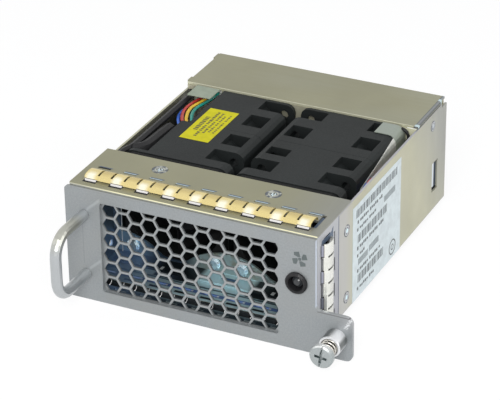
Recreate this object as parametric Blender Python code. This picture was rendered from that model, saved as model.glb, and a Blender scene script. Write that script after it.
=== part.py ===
"""Fan tray for a network switch: faceplate, bent sheet chassis and two double fans.

Frame: X runs across the faceplate to the right, Y runs from the faceplate's front
into the chassis, Z is up, everything in metres. The pieces are drawn from the lower left
corner of the faceplate's front, and at the end the whole tray is moved so that its origin
is the seat on the back of the ear.
"""
import math

import bmesh
import bpy
from mathutils import Vector

MM = 0.001

# Sheet metal and fits
SHEET = 0.8 * MM
FIT = 0.1 * MM

# Fans
FAN_SIZE = 40.0 * MM
FAN_GAP = 2.7 * MM
FAN_SEAT = 0.15 * MM
FAN_EDGE = 1.2 * MM
FAN_HOLE_EDGE = 4.0 * MM
FAN_HOLE = 3.4 * MM
STAGE_LENGTH = 28.0 * MM
FOAM_THICKNESS = 2.5 * MM
HUB_RADIUS = 10.5 * MM
TIP_CLEARANCE = 0.6 * MM
POCKET_WIDTH = 11.2 * MM
CHANNEL_WIDTH = 8.1 * MM
SHAFT_RADIUS = 1.5 * MM
SHAFT_CLEARANCE = 0.05 * MM
BEARING_RADIUS = 2.5 * MM
POLE_SHAPE = [(2.2, 1.5), (6.6, 1.5), (6.6, 4.2), (8.2, 3.4),
              (8.2, -3.4), (6.6, -4.2), (6.6, -1.5), (2.2, -1.5)]
FAN_BORE = FAN_SIZE - 2 * FAN_EDGE
FAN_HOLE_SPACING = FAN_SIZE - 2 * FAN_HOLE_EDGE
BLADE_TIP = FAN_BORE / 2 - TIP_CLEARANCE

# Finger gaskets
FINGER_PITCH = 4.97 * MM
FINGER_SLIT = 0.8 * MM
GASKET_FRONT = 5.5 * MM
GASKET_WIDTH = 6.5 * MM
GASKET_RISE = 1.55 * MM
GASKET_THICKNESS = 0.3 * MM
GASKET_REAR = GASKET_FRONT + GASKET_WIDTH
TOP_FINGER_START = 4.9 * MM
SIDE_FINGER_START = 4.3 * MM
LIP_REACH = 1.0 * MM
LIP_FRONT = GASKET_FRONT - LIP_REACH
SLOT_GAP = 2.8 * MM
SLOT_WIDTH = 0.9 * MM
SLOT_FRONT = GASKET_REAR + SLOT_GAP
SLOT_REAR = SLOT_FRONT + SLOT_WIDTH

# Chassis envelope: its inside follows from the fans and the channel beside them
SIDE_CHANNEL = 4.23 * MM
STRIP_ABOVE_FANS = 0.55 * MM
CHASSIS_LEFT = 1.04 * MM
CHASSIS_BOTTOM = 2.36 * MM
CHASSIS_RIGHT = CHASSIS_LEFT + 2 * SHEET + 2 * SIDE_CHANNEL + 2 * FAN_SIZE + FAN_GAP
CHASSIS_TOP = CHASSIS_BOTTOM + SHEET + FAN_SEAT + FAN_SIZE + STRIP_ABOVE_FANS
LEFT_WALL_TOP = CHASSIS_TOP - 3.16 * MM
RIGHT_WALL_TOP = CHASSIS_TOP - 0.96 * MM
REAR_WALL_TOP = 22.0 * MM
FLANGE_MARGIN = 3.0 * MM
LAP_LENGTH = 10.3 * MM
STRIP_TO_FANS = 3.4 * MM
COVER_GAP = 0.3 * MM
OUTLET_LENGTH = 27.6 * MM
FLANGE_END = SLOT_REAR + FLANGE_MARGIN
STRIP_END = FLANGE_END + LAP_LENGTH
FAN_FRONT = STRIP_END + STRIP_TO_FANS
FAN_SPLIT = FAN_FRONT + STAGE_LENGTH
FAN_REAR = FAN_SPLIT + STAGE_LENGTH
COVER_FRONT = FAN_REAR + COVER_GAP
CHASSIS_REAR = FAN_REAR + OUTLET_LENGTH
TOP_FINGERS = int((CHASSIS_RIGHT - TOP_FINGER_START - 3.5 * MM) / FINGER_PITCH)
SIDE_FINGERS = int((CHASSIS_TOP - SIDE_FINGER_START - 3.5 * MM) / FINGER_PITCH)

# Places of the fans
FAN_PITCH = FAN_SIZE + FAN_GAP
FAN_MIDDLE_X = (CHASSIS_LEFT + CHASSIS_RIGHT) / 2
FAN_CENTRE_Z = CHASSIS_BOTTOM + SHEET + FAN_SEAT + FAN_SIZE / 2
FAN_CENTRES = {"left": FAN_MIDDLE_X - FAN_PITCH / 2, "right": FAN_MIDDLE_X + FAN_PITCH / 2}
FAN_TOP = FAN_CENTRE_Z + FAN_SIZE / 2
FANS_LEFT = FAN_CENTRES["left"] - FAN_SIZE / 2
FANS_RIGHT = FAN_CENTRES["right"] + FAN_SIZE / 2

# Faceplate: it hides the front frame, a little lower than the frame's top
PLATE_WIDTH = CHASSIS_RIGHT
PLATE_STEP = 0.66 * MM
PLATE_HEIGHT = CHASSIS_TOP - PLATE_STEP
PLATE_THICKNESS = 1.2 * MM
FRAME_FRONT = PLATE_THICKNESS + FIT
EAR_WIDTH = 13.35 * MM
EAR_HEIGHT = 16.9 * MM
EAR_RADIUS = 2.4 * MM
NOTCH_RADIUS = 1.8 * MM
WINDOW_LEFT = 13.4 * MM
WINDOW_RIGHT = PLATE_WIDTH - 13.6 * MM
WINDOW_BOTTOM = 4.4 * MM
WINDOW_TOP = PLATE_HEIGHT - 4.25 * MM

# Hexagon grille
HEX_PITCH = 5.82 * MM
HEX_WEB = 0.8 * MM
HEX_COLUMNS = int((WINDOW_RIGHT - WINDOW_LEFT) / (HEX_PITCH * math.sqrt(3) / 2))
HEX_ROWS = round((WINDOW_TOP - WINDOW_BOTTOM) / HEX_PITCH)
HEX_FIRST_X = WINDOW_LEFT + 3.1 * MM
HEX_FIRST_Z = WINDOW_TOP - 2.75 * MM

# Handle
HANDLE_X = 7.2 * MM
HANDLE_LOW = 10.2 * MM
HANDLE_HIGH = PLATE_HEIGHT - 9.9 * MM
HANDLE_REACH = 20.0 * MM
HANDLE_BAR = 4.0 * MM
HANDLE_BEND = 7.2 * MM
HANDLE_SCREW = 1.15 * MM

# Captive screw
SCREW_X = PLATE_WIDTH + 7.6 * MM
SCREW_Z = 7.9 * MM
SCREW_SHANK = 1.15 * MM
SCREW_THREAD = 1.9 * MM
SPRING_RADIUS = 2.6 * MM
SPRING_WIRE = 0.3 * MM
SLEEVE_BORE = SPRING_RADIUS + SPRING_WIRE + FIT
SLEEVE_RADIUS = SLEEVE_BORE + 0.9 * MM
SLEEVE_BARREL = 2.6 * MM
SHANK_ROOM = 0.7 * MM
RING_RADIUS = SLEEVE_BARREL - 0.1 * MM
SLEEVE_LENGTH = 7.2 * MM
SCREW_HEAD_RADIUS = SLEEVE_RADIUS + 0.3 * MM
SCREW_HEAD_LENGTH = 2.1 * MM
SCREW_HEAD_FRONT = SLEEVE_LENGTH + 5.8 * MM

# Status light
LIGHT_X = PLATE_WIDTH - 6.8 * MM
LIGHT_Z = 25.9 * MM
LIGHT_RADIUS = 3.95 * MM
LIGHT_BARREL = 3.0 * MM

# Screws and rivets: places on the top are (x, y), on the side walls (y, z)
FLAT_HEAD = 2.8 * MM
FLAT_THREAD = 1.2 * MM
TOP_SCREW_Y = FLANGE_END + 3.6 * MM
TOP_SCREWS = [(25.2 * MM, TOP_SCREW_Y), (PLATE_WIDTH - 25.6 * MM, TOP_SCREW_Y)]
SIDE_SCREW_Y = FLANGE_END + 6.7 * MM
SIDE_SCREWS = [(SIDE_SCREW_Y, CHASSIS_TOP - 9.76 * MM), (SIDE_SCREW_Y, 8.2 * MM)]
SIDE_SHANK = 1.15 * MM
RIVET_SHANK = 1.1 * MM
RIVET_Y = COVER_FRONT + 14.1 * MM
RIVET_Z = CHASSIS_TOP - 5.96 * MM

# Bracket in front of the fans
BRACKET_FRONT = FAN_FRONT - 2 * FIT - SHEET - FOAM_THICKNESS
TAB_TOP = 12.0 * MM
TAB_RADIUS = 24.0 * MM

# Slot in the right wall near the rear, with a sprung tab cut out of it
REAR_SLOT_FRONT = CHASSIS_REAR - 13.0 * MM
REAR_SLOT_END = REAR_SLOT_FRONT + 5.3 * MM
REAR_SLOT_LOW = 10.5 * MM
REAR_SLOT_HIGH = 22.4 * MM

# Connector in the rear wall
CONNECTOR_WIDTH = 26.0 * MM
CONNECTOR_LEFT = FAN_MIDDLE_X - 13.42 * MM
CONNECTOR_RIGHT = CONNECTOR_LEFT + CONNECTOR_WIDTH
CONNECTOR_BOTTOM = 8.0 * MM
CONNECTOR_TOP = 18.0 * MM
CONNECTOR_FRONT = CHASSIS_REAR - 5.4 * MM
CONNECTOR_REAR = CHASSIS_REAR + 2.0 * MM
CONNECTOR_WALL = 1.5 * MM
BOARD_THICKNESS = 1.6 * MM
BOARD_MARGIN = 12.0 * MM

# Origin of the finished part: a point on the back of the ear, where it seats on the chassis
EAR_SEAT = Vector((PLATE_WIDTH + 4.7 * MM, PLATE_THICKNESS, 13.5 * MM))


def clear_scene():
    for thing in list(bpy.data.objects):
        bpy.data.objects.remove(thing, do_unlink=True)


def material(name, colour, roughness, metallic):
    made = bpy.data.materials.new(name)
    made.use_nodes = True
    shader = made.node_tree.nodes["Principled BSDF"]
    shader.inputs["Base Color"].default_value = (*colour, 1.0)
    shader.inputs["Roughness"].default_value = roughness
    shader.inputs["Metallic"].default_value = metallic
    return made


def add_object(name, shape, origin=(0.0, 0.0, 0.0)):
    """Turn a bmesh drawn in tray coordinates into an object with its origin at a point."""
    bmesh.ops.recalc_face_normals(shape, faces=shape.faces)
    bmesh.ops.translate(shape, verts=shape.verts, vec=-Vector(origin))
    mesh = bpy.data.meshes.new(name)
    shape.to_mesh(mesh)
    shape.free()
    made = bpy.data.objects.new(name, mesh)
    made.location = origin
    bpy.context.collection.objects.link(made)
    return made


def to_space(point, plane, level):
    """Place a flat point on one of the three planes at a level along the third axis."""
    first, second = point
    if plane == "XZ":
        return (first, level, second)
    if plane == "XY":
        return (first, second, level)
    return (level, first, second)


def extrude(name, outline, plane, start, end, origin=(0.0, 0.0, 0.0)):
    """Extrude one closed outline between two levels."""
    shape = bmesh.new()
    extrude_into(shape, outline, plane, start, end)
    return add_object(name, shape, origin)


def extrude_into(shape, outline, plane, start, end):
    low = [shape.verts.new(to_space(p, plane, start)) for p in outline]
    high = [shape.verts.new(to_space(p, plane, end)) for p in outline]
    count = len(outline)
    shape.faces.new(low)
    shape.faces.new(list(reversed(high)))
    for index in range(count):
        following = (index + 1) % count
        shape.faces.new((low[index], high[index], high[following], low[following]))


def rectangle(left, right, bottom, top):
    return [(left, bottom), (right, bottom), (right, top), (left, top)]


def box(name, low, high):
    shape = bmesh.new()
    extrude_into(shape, rectangle(low[0], high[0], low[1], high[1]), "XY", low[2], high[2])
    return add_object(name, shape)


def boxes(name, pairs):
    shape = bmesh.new()
    for low, high in pairs:
        extrude_into(shape, rectangle(low[0], high[0], low[1], high[1]), "XY", low[2], high[2])
    return add_object(name, shape)


def circle(centre, radius, steps=20, turn=0.0):
    points = []
    for index in range(steps):
        angle = turn + 2 * math.pi * index / steps
        points.append((centre[0] + radius * math.cos(angle), centre[1] + radius * math.sin(angle)))
    return points


def rounded(corners, radii, steps=4):
    """Round each corner of a polygon with its own radius."""
    points = []
    count = len(corners)
    for index, corner in enumerate(corners):
        radius = radii[index]
        here = Vector(corner)
        before = (Vector(corners[index - 1]) - here).normalized()
        after = (Vector(corners[(index + 1) % count]) - here).normalized()
        if radius <= 0:
            points.append(tuple(here))
            continue
        half = before.angle(after) / 2
        start = here + before * (radius / math.tan(half))
        end = here + after * (radius / math.tan(half))
        centre = here + (before + after).normalized() * (radius / math.sin(half))
        first = start - centre
        turn = first.angle_signed(end - centre)
        for step in range(steps + 1):
            angle = -turn * step / steps
            spoke = Vector((
                first.x * math.cos(angle) - first.y * math.sin(angle),
                first.x * math.sin(angle) + first.y * math.cos(angle),
            ))
            points.append(tuple(centre + spoke))
    return points


def revolve(name, profile, centre, steps=20, origin=None):
    """Turn a closed profile of (radius, y) points around a line along Y."""
    shape = bmesh.new()
    rings = []
    for radius, depth in profile:
        if radius <= 1e-9:
            rings.append([shape.verts.new((centre[0], depth, centre[1]))])
            continue
        ring = [shape.verts.new((x, depth, z)) for x, z in circle(centre, radius, steps)]
        rings.append(ring)
    for index, ring in enumerate(rings):
        other = rings[(index + 1) % len(rings)]
        for step in range(steps):
            after = (step + 1) % steps
            if len(ring) == 1 and len(other) == 1:
                continue
            if len(ring) == 1:
                shape.faces.new((ring[0], other[after], other[step]))
            elif len(other) == 1:
                shape.faces.new((ring[step], ring[after], other[0]))
            else:
                shape.faces.new((ring[step], ring[after], other[after], other[step]))
    if origin is None:
        origin = (centre[0], profile[0][1], centre[1])
    return add_object(name, shape, origin)


def combine(target, other, operation):
    """Apply one exact Boolean and drop the second object."""
    step = target.modifiers.new(operation, "BOOLEAN")
    step.object = other
    step.operation = operation
    step.solver = "EXACT"
    bpy.context.view_layer.update()
    graph = bpy.context.evaluated_depsgraph_get()
    result = bpy.data.meshes.new_from_object(target.evaluated_get(graph))
    target.modifiers.remove(step)
    target.data = result
    bpy.data.objects.remove(other, do_unlink=True)
    return target


def cut(target, cutter):
    return combine(target, cutter, "DIFFERENCE")


def join(target, other):
    return combine(target, other, "UNION")


def cut_each(target, pairs):
    for low, high in pairs:
        cut(target, box("trim", low, high))


def finish(thing, look, smooth=False, parent=None):
    thing.data.materials.clear()
    thing.data.materials.append(look)
    if smooth:
        thing.data.shade_smooth()
        thing.data.set_sharp_from_angle(angle=math.radians(32))
    if parent is not None:
        thing.parent = parent
        thing.matrix_parent_inverse = parent.matrix_world.inverted()
    return thing


def hexagon_cutters(front, rear):
    """Prisms for the staggered grille, the even columns cut short by the window."""
    radius = (HEX_PITCH - HEX_WEB) / math.sqrt(3)
    column_step = HEX_PITCH * math.sqrt(3) / 2
    shape = bmesh.new()
    for column in range(HEX_COLUMNS):
        odd = column % 2 == 0
        rows = HEX_ROWS if odd else HEX_ROWS + 1
        x = HEX_FIRST_X + column * column_step
        top = HEX_FIRST_Z if odd else HEX_FIRST_Z + HEX_PITCH / 2
        for row in range(rows):
            z = top - row * HEX_PITCH
            outline = []
            for px, pz in circle((x, z), radius, 6):
                outline.append((px, min(max(pz, WINDOW_BOTTOM), WINDOW_TOP)))
            extrude_into(shape, outline, "XZ", front, rear)
    return add_object("hexagons", shape)


def make_faceplate():
    right = PLATE_WIDTH + EAR_WIDTH
    corners = [
        (0.0, 0.0),
        (right, 0.0),
        (right, EAR_HEIGHT),
        (PLATE_WIDTH, EAR_HEIGHT),
        (PLATE_WIDTH, PLATE_HEIGHT),
        (0.0, PLATE_HEIGHT),
    ]
    radii = [1.2 * MM, EAR_RADIUS, EAR_RADIUS, NOTCH_RADIUS, 0.6 * MM, 1.2 * MM]
    plate = extrude("faceplate", rounded(corners, radii), "XZ", 0.0, PLATE_THICKNESS)
    window = rounded(
        rectangle(WINDOW_LEFT, WINDOW_RIGHT, WINDOW_BOTTOM - FIT, WINDOW_TOP + FIT),
        [0.8 * MM] * 4,
        3,
    )
    cutter = bmesh.new()
    extrude_into(cutter, window, "XZ", -MM, 3 * MM)
    extrude_into(cutter, circle((LIGHT_X, LIGHT_Z), LIGHT_BARREL + FIT), "XZ", -MM, 3 * MM)
    extrude_into(cutter, circle((SCREW_X, SCREW_Z), SLEEVE_BARREL + FIT), "XZ", -MM, 3 * MM)
    for z in (HANDLE_LOW, HANDLE_HIGH):
        extrude_into(cutter, circle((HANDLE_X, z), HANDLE_SCREW + 0.15 * MM, 16), "XZ", -MM, 3 * MM)
    cut(plate, add_object("cutter", cutter))
    return plate


def finger_span(index, start):
    return (start + index * FINGER_PITCH, start + (index + 1) * FINGER_PITCH)


def make_front_frame():
    """One bent sheet: grille wall, four flanges, gasket windows and lapped side tabs."""
    left, right = CHASSIS_LEFT, CHASSIS_RIGHT
    bottom, top = CHASSIS_BOTTOM, CHASSIS_TOP
    front = FRAME_FRONT
    outer = box("front_frame", (left, front, bottom), (right, STRIP_END, top))
    round_edges(outer, front, 0.9 * MM)
    inner_low = (left + SHEET, front + SHEET, bottom + SHEET)
    inner_high = (right - SHEET, STRIP_END + MM, top - SHEET)
    cut(outer, box("hollow", inner_low, inner_high))
    lap = SHEET + FIT
    wall_top = RIGHT_WALL_TOP + FIT
    trims = [
        ((left - MM, FLANGE_END, bottom - MM), (left + lap, STRIP_END + MM, wall_top)),
        ((right - lap, FLANGE_END, bottom - MM), (right + MM, STRIP_END + MM, wall_top)),
        ((left - MM, FLANGE_END, bottom - MM), (right + MM, STRIP_END + MM, bottom + lap)),
    ]
    cut_each(outer, trims)
    for wall, inward in ((left, 1), (right, -1)):
        near = wall + inward * lap
        far = near + inward * SHEET
        lap_start = FLANGE_END - 1.2 * MM
        tab_top = top - SHEET / 2
        low, high = sorted((near, far))
        join(outer, box("lap", (low, lap_start, bottom + lap), (high, STRIP_END - MM, tab_top)))
        low, high = sorted((wall + inward * SHEET / 2, near + inward * SHEET / 2))
        join(outer, box("joggle", (low, lap_start, bottom + lap), (high, FLANGE_END, tab_top)))
    cut(outer, hexagon_cutters(0.0, 4 * MM))
    holes = bmesh.new()
    extrude_into(holes, circle((LIGHT_X, LIGHT_Z), LIGHT_BARREL + FIT), "XZ", 0.0, 4 * MM)
    for z in (HANDLE_LOW, HANDLE_HIGH):
        extrude_into(holes, circle((HANDLE_X, z), HANDLE_SCREW + 0.55 * MM, 16), "XZ", 0.0, 4 * MM)
    for y, z in SIDE_SCREWS:
        extrude_into(holes, circle((y, z), SIDE_SHANK + 0.15 * MM, 12), "YZ", left - MM, left + 4 * MM)
        extrude_into(holes, circle((y, z), SIDE_SHANK + 0.15 * MM, 12), "YZ", right - 4 * MM, right + MM)
    cut(outer, add_object("holes", holes))
    for spot in TOP_SCREWS:
        cut(outer, countersink(spot))
    windows = []
    corner_slots = []
    window_front = GASKET_FRONT + 1.2 * MM
    window_rear = GASKET_REAR - 0.6 * MM
    for level in ((bottom - MM, bottom + 2 * MM), (top - 2 * MM, top + MM)):
        start = TOP_FINGER_START + 1.2 * MM
        end = TOP_FINGER_START + TOP_FINGERS * FINGER_PITCH + 1.6 * MM
        windows.append(((start, window_front, level[0]), (end, window_rear, level[1])))
        corner_slots.append(((end - 1.4 * MM, window_rear - MM, level[0]), (end, SLOT_REAR, level[1])))
        for index in range(0, TOP_FINGERS, 2):
            low, high = finger_span(index, TOP_FINGER_START)
            windows.append(((low, LIP_FRONT, level[0]), (high, GASKET_FRONT + 0.3 * MM, level[1])))
            windows.append(((low, SLOT_FRONT, level[0]), (high, SLOT_REAR, level[1])))
    for level in ((left - MM, left + 2 * MM), (right - 2 * MM, right + MM)):
        start = SIDE_FINGER_START + 1.2 * MM
        end = SIDE_FINGER_START + SIDE_FINGERS * FINGER_PITCH + 1.6 * MM
        windows.append(((level[0], window_front, start), (level[1], window_rear, end)))
        for index in range(0, SIDE_FINGERS, 2):
            low, high = finger_span(index, SIDE_FINGER_START)
            windows.append(((level[0], LIP_FRONT, low), (level[1], GASKET_FRONT + 0.3 * MM, high)))
            windows.append(((level[0], SLOT_FRONT, low), (level[1], SLOT_REAR, high)))
    cut(outer, boxes("windows", windows))
    cut_each(outer, corner_slots)
    return outer


def round_edges(thing, front, radius):
    """Round the four bends around the grille wall."""
    shape = bmesh.new()
    shape.from_mesh(thing.data)
    edges = []
    for edge in shape.edges:
        if all(abs(vert.co.y + thing.location.y - front) < 1e-7 for vert in edge.verts):
            edges.append(edge)
    bmesh.ops.bevel(shape, geom=edges, offset=radius, segments=3, profile=0.5, affect="EDGES")
    shape.to_mesh(thing.data)
    shape.free()


def gasket_section():
    """The bowed finger seen from the end, as (depth, height) pairs around the strip."""
    steps = 6
    outer = []
    inner = []
    middle = (GASKET_FRONT + GASKET_REAR) / 2
    half = (GASKET_REAR - GASKET_FRONT) / 2
    for index in range(steps + 1):
        angle = math.pi * index / steps
        depth = middle - half * math.cos(angle)
        lift = math.sin(angle) ** 0.6
        outer.append((depth, GASKET_THICKNESS + GASKET_RISE * lift))
        inner.append((middle - (half - GASKET_THICKNESS) * math.cos(angle), GASKET_RISE * lift))
    return outer + list(reversed(inner))


def make_gasket(name, fingers, start, side):
    """A finger strip on one of the four sides of the front frame."""
    section = gasket_section()
    length_end = start + fingers * FINGER_PITCH

    def place(depth, height):
        if side == "top":
            return (depth, CHASSIS_TOP + FIT + height)
        if side == "bottom":
            return (depth, CHASSIS_BOTTOM - FIT - height)
        if side == "right":
            return (CHASSIS_RIGHT + FIT + height, depth)
        return (CHASSIS_LEFT - FIT - height, depth)

    plane = "YZ" if side in ("top", "bottom") else "XY"
    outline = [place(depth, height) for depth, height in section]
    strip = extrude(name, outline, plane, start, length_end)
    slits = bmesh.new()
    lips = bmesh.new()
    slit_front = GASKET_FRONT + 1.1 * MM
    slit_rear = GASKET_REAR + MM
    for index in range(1, fingers):
        at = start + index * FINGER_PITCH
        corners = [
            place(slit_front, -0.5 * MM),
            place(slit_rear, -0.5 * MM),
            place(slit_rear, 3 * MM),
            place(slit_front, 3 * MM),
        ]
        extrude_into(slits, corners, plane, at - FINGER_SLIT / 2, at + FINGER_SLIT / 2)
    cut(strip, add_object("slits", slits))
    for index in range(0, fingers, 2):
        low, high = finger_span(index, start)
        corners = [
            place(LIP_FRONT + 0.3 * MM, -0.7 * MM),
            place(LIP_FRONT + 0.6 * MM, -0.7 * MM),
            place(GASKET_FRONT + 0.5 * MM, 0.55 * MM),
            place(GASKET_FRONT + 0.1 * MM, 0.75 * MM),
        ]
        extrude_into(lips, corners, plane, low + 0.35 * MM, high - 0.35 * MM)
    join(strip, add_object("lips", lips))
    return strip


def make_tray():
    """Floor and side walls in one bent sheet, with a low rear wall that holds the connector."""
    left, right = CHASSIS_LEFT, CHASSIS_RIGHT
    bottom = CHASSIS_BOTTOM
    start = FLANGE_END + FIT
    outline = [
        (left, LEFT_WALL_TOP),
        (left, bottom),
        (right, bottom),
        (right, RIGHT_WALL_TOP),
        (right - SHEET, RIGHT_WALL_TOP),
        (right - SHEET, bottom + SHEET),
        (left + SHEET, bottom + SHEET),
        (left + SHEET, LEFT_WALL_TOP),
    ]
    radii = [0.0, 0.9 * MM, 0.9 * MM, 0.0, 0.0, 0.2 * MM, 0.2 * MM, 0.0]
    tray = extrude("tray", rounded(outline, radii, 3), "XZ", start, CHASSIS_REAR)
    wall_low = (left + SHEET / 2, CHASSIS_REAR - SHEET, bottom + SHEET / 2)
    wall_high = (right - SHEET / 2, CHASSIS_REAR, REAR_WALL_TOP)
    join(tray, box("rear_wall", wall_low, wall_high))
    cutters = []
    cutters.append(((CONNECTOR_LEFT - 0.4 * MM, CHASSIS_REAR - 2 * MM, CONNECTOR_BOTTOM - 0.4 * MM),
                    (CONNECTOR_RIGHT + 0.4 * MM, CHASSIS_REAR + MM, CONNECTOR_TOP + 0.4 * MM)))
    cutters.append(((right - 2 * MM, REAR_SLOT_FRONT, REAR_SLOT_LOW),
                    (right + MM, REAR_SLOT_END, REAR_SLOT_HIGH)))
    cutters.append(((right - 2 * MM, CHASSIS_REAR - 4.8 * MM, RIGHT_WALL_TOP - 1.3 * MM),
                    (right + MM, CHASSIS_REAR + MM, RIGHT_WALL_TOP + 1.1 * MM)))
    cut(tray, boxes("openings", cutters))
    tab = [
        (right - SHEET, REAR_SLOT_END - 0.3 * MM),
        (right, REAR_SLOT_END - 0.3 * MM),
        (right, REAR_SLOT_END + 0.7 * MM),
        (right - SHEET, REAR_SLOT_END + 0.7 * MM),
        (right - SHEET - 1.1 * MM, REAR_SLOT_FRONT + 1.6 * MM),
        (right - SHEET - 0.5 * MM, REAR_SLOT_FRONT + 1.3 * MM),
    ]
    join(tray, extrude("tab", tab, "XY", REAR_SLOT_LOW + 0.7 * MM, REAR_SLOT_HIGH - 0.7 * MM))
    holes = bmesh.new()
    for y, z in SIDE_SCREWS:
        extrude_into(holes, circle((y, z), SIDE_SHANK + 0.55 * MM, 12), "YZ", left - MM, left + 2 * MM)
        extrude_into(holes, circle((y, z), SIDE_SHANK + 0.55 * MM, 12), "YZ", right - 2 * MM, right + MM)
    rivet_hole = circle((RIVET_Y, RIVET_Z), RIVET_SHANK + 0.15 * MM, 12)
    extrude_into(holes, rivet_hole, "YZ", left - MM, left + 2 * MM)
    extrude_into(holes, rivet_hole, "YZ", right - 2 * MM, right + MM)
    cut(tray, add_object("holes", holes))
    return tray


def make_rear_cover():
    """Top plate with tabs over the left wall and flanges folded down inside the walls."""
    inner_left = CHASSIS_LEFT + SHEET + FIT
    inner_right = CHASSIS_RIGHT - SHEET - FIT
    under = CHASSIS_TOP - SHEET
    rear = CHASSIS_REAR - SHEET - FIT
    plate = box("rear_cover", (inner_left, COVER_FRONT, under), (inner_right, CHASSIS_REAR, CHASSIS_TOP))
    flange_low = CHASSIS_TOP - 10.86 * MM
    joins = [
        ((inner_left, COVER_FRONT + 3.5 * MM, flange_low), (inner_left + SHEET, rear, under + 0.3 * MM)),
        ((inner_right - SHEET, COVER_FRONT + 3.5 * MM, flange_low), (inner_right, rear, under + 0.3 * MM)),
        ((inner_left + 3 * MM, rear - SHEET, under - 4.06 * MM),
         (inner_right - 3 * MM, rear, under + 0.3 * MM)),
        ((CHASSIS_LEFT, COVER_FRONT + 1.9 * MM, under - 0.6 * MM),
         (inner_left + 0.6 * MM, COVER_FRONT + 4.9 * MM, CHASSIS_TOP - 0.2 * MM)),
        ((CHASSIS_LEFT, CHASSIS_REAR - 4.0 * MM, under - 0.6 * MM),
         (inner_left + 0.6 * MM, CHASSIS_REAR, CHASSIS_TOP - 0.2 * MM)),
        ((inner_right - MM, COVER_FRONT, under),
         (CHASSIS_RIGHT - 0.3 * MM, CHASSIS_REAR - 5.2 * MM, CHASSIS_TOP)),
    ]
    for low, high in joins:
        join(plate, box("fold", low, high))
    holes = bmesh.new()
    rivet_hole = circle((RIVET_Y, RIVET_Z), RIVET_SHANK + 0.15 * MM, 12)
    extrude_into(holes, rivet_hole, "YZ", inner_left - MM, inner_left + 2 * MM)
    extrude_into(holes, rivet_hole, "YZ", inner_right - 2 * MM, inner_right + MM)
    cut(plate, add_object("holes", holes))
    return plate


def screw_columns():
    for centre in FAN_CENTRES.values():
        for sign in (-1, 1):
            yield centre + sign * FAN_HOLE_SPACING / 2


def tab_height(x):
    """Top edge of the bracket: a round-topped tab at each screw pair, low between them."""
    height = CHASSIS_BOTTOM + SHEET + FIT + 1.6 * MM
    for number in (-1, 0, 1):
        offset = abs(x - FAN_MIDDLE_X - number * FAN_PITCH)
        if offset < TAB_RADIUS:
            height = max(height, TAB_TOP - TAB_RADIUS + math.sqrt(TAB_RADIUS ** 2 - offset ** 2))
    return height


def make_fan_bracket():
    """Low sheet with round-topped tabs between the fans and a foot folded forward on the floor."""
    left = CHASSIS_LEFT + 2 * SHEET + 3 * FIT
    right = CHASSIS_RIGHT - 2 * SHEET - 3 * FIT
    floor = CHASSIS_BOTTOM + SHEET + FIT
    outline = [(left, floor), (right, floor)]
    steps = 44
    for step in range(steps + 1):
        x = right + (left - right) * step / steps
        outline.append((x, tab_height(x)))
    plate = extrude("fan_bracket", outline, "XZ", BRACKET_FRONT, BRACKET_FRONT + SHEET)
    foot_low = (left + 2 * MM, BRACKET_FRONT - 7.0 * MM, floor)
    foot_high = (right - 2 * MM, BRACKET_FRONT + 0.3 * MM, floor + SHEET)
    join(plate, box("foot", foot_low, foot_high))
    holes = bmesh.new()
    for x in screw_columns():
        z = FAN_CENTRE_Z - FAN_HOLE_SPACING / 2
        extrude_into(holes, circle((x, z), 1.6 * MM, 12), "XZ", BRACKET_FRONT - MM, BRACKET_FRONT + 2 * MM)
    cut(plate, add_object("holes", holes))
    return plate


def make_bulkhead():
    """Upright sheet behind the fans with a round outlet for each and a foot on the floor."""
    front = FAN_REAR + FIT
    left = CHASSIS_LEFT + SHEET + 2 * FIT
    right = CHASSIS_RIGHT - SHEET - 2 * FIT
    floor = CHASSIS_BOTTOM + SHEET + FIT
    top = CHASSIS_TOP - SHEET - FIT
    plate = box("rear_bulkhead", (left, front, floor), (right, front + SHEET, top))
    outlets = bmesh.new()
    for centre in FAN_CENTRES.values():
        outlet = circle((centre, FAN_CENTRE_Z), FAN_BORE / 2 - 0.2 * MM, 32)
        extrude_into(outlets, outlet, "XZ", front - MM, front + 2 * MM)
    cut(plate, add_object("outlets", outlets))
    foot_low = (left + 2 * MM, front + 0.2 * MM, floor)
    foot_high = (right - 2 * MM, front + 8 * MM, floor + SHEET)
    join(plate, box("foot", foot_low, foot_high))
    passages = [
        ((FANS_LEFT + 1.53 * MM, front - MM, top - 4.76 * MM),
         (FANS_LEFT + 9.93 * MM, front + 2 * MM, top + MM)),
        ((left - MM, front - MM, top - 6.56 * MM), (left + 3.9 * MM, front + 2 * MM, top - 1.76 * MM)),
        ((FANS_RIGHT + 0.43 * MM, front - MM, top - 3.56 * MM), (right + MM, front + 2 * MM, top + MM)),
    ]
    cut(plate, boxes("passages", passages))
    return plate


def make_stiffener():
    """Bar under the top strip with two threaded holes for the countersunk screws."""
    top = CHASSIS_TOP - SHEET - FIT
    low = (CHASSIS_LEFT + 6.96 * MM, FLANGE_END + 0.3 * MM, top - 1.6 * MM)
    high = (CHASSIS_RIGHT - 7.0 * MM, STRIP_END - 2.5 * MM, top)
    bar = box("stiffener", low, high)
    for spot in TOP_SCREWS:
        cut(bar, countersink(spot))
    return bar


def countersink(spot):
    """Cutter for one countersunk screw: its cone and thread, each with the fit around it."""
    top = CHASSIS_TOP
    profile = [
        (0.0, top + MM),
        (FLAT_HEAD + FIT, top + MM),
        (FLAT_HEAD + FIT, top - 0.25 * MM),
        (FLAT_THREAD + FIT, top - 0.25 * MM - (FLAT_HEAD - FLAT_THREAD)),
        (FLAT_THREAD + FIT, top - 8 * MM),
        (0.0, top - 8 * MM),
    ]
    return revolve_up("countersink", profile, spot, 24)


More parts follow.
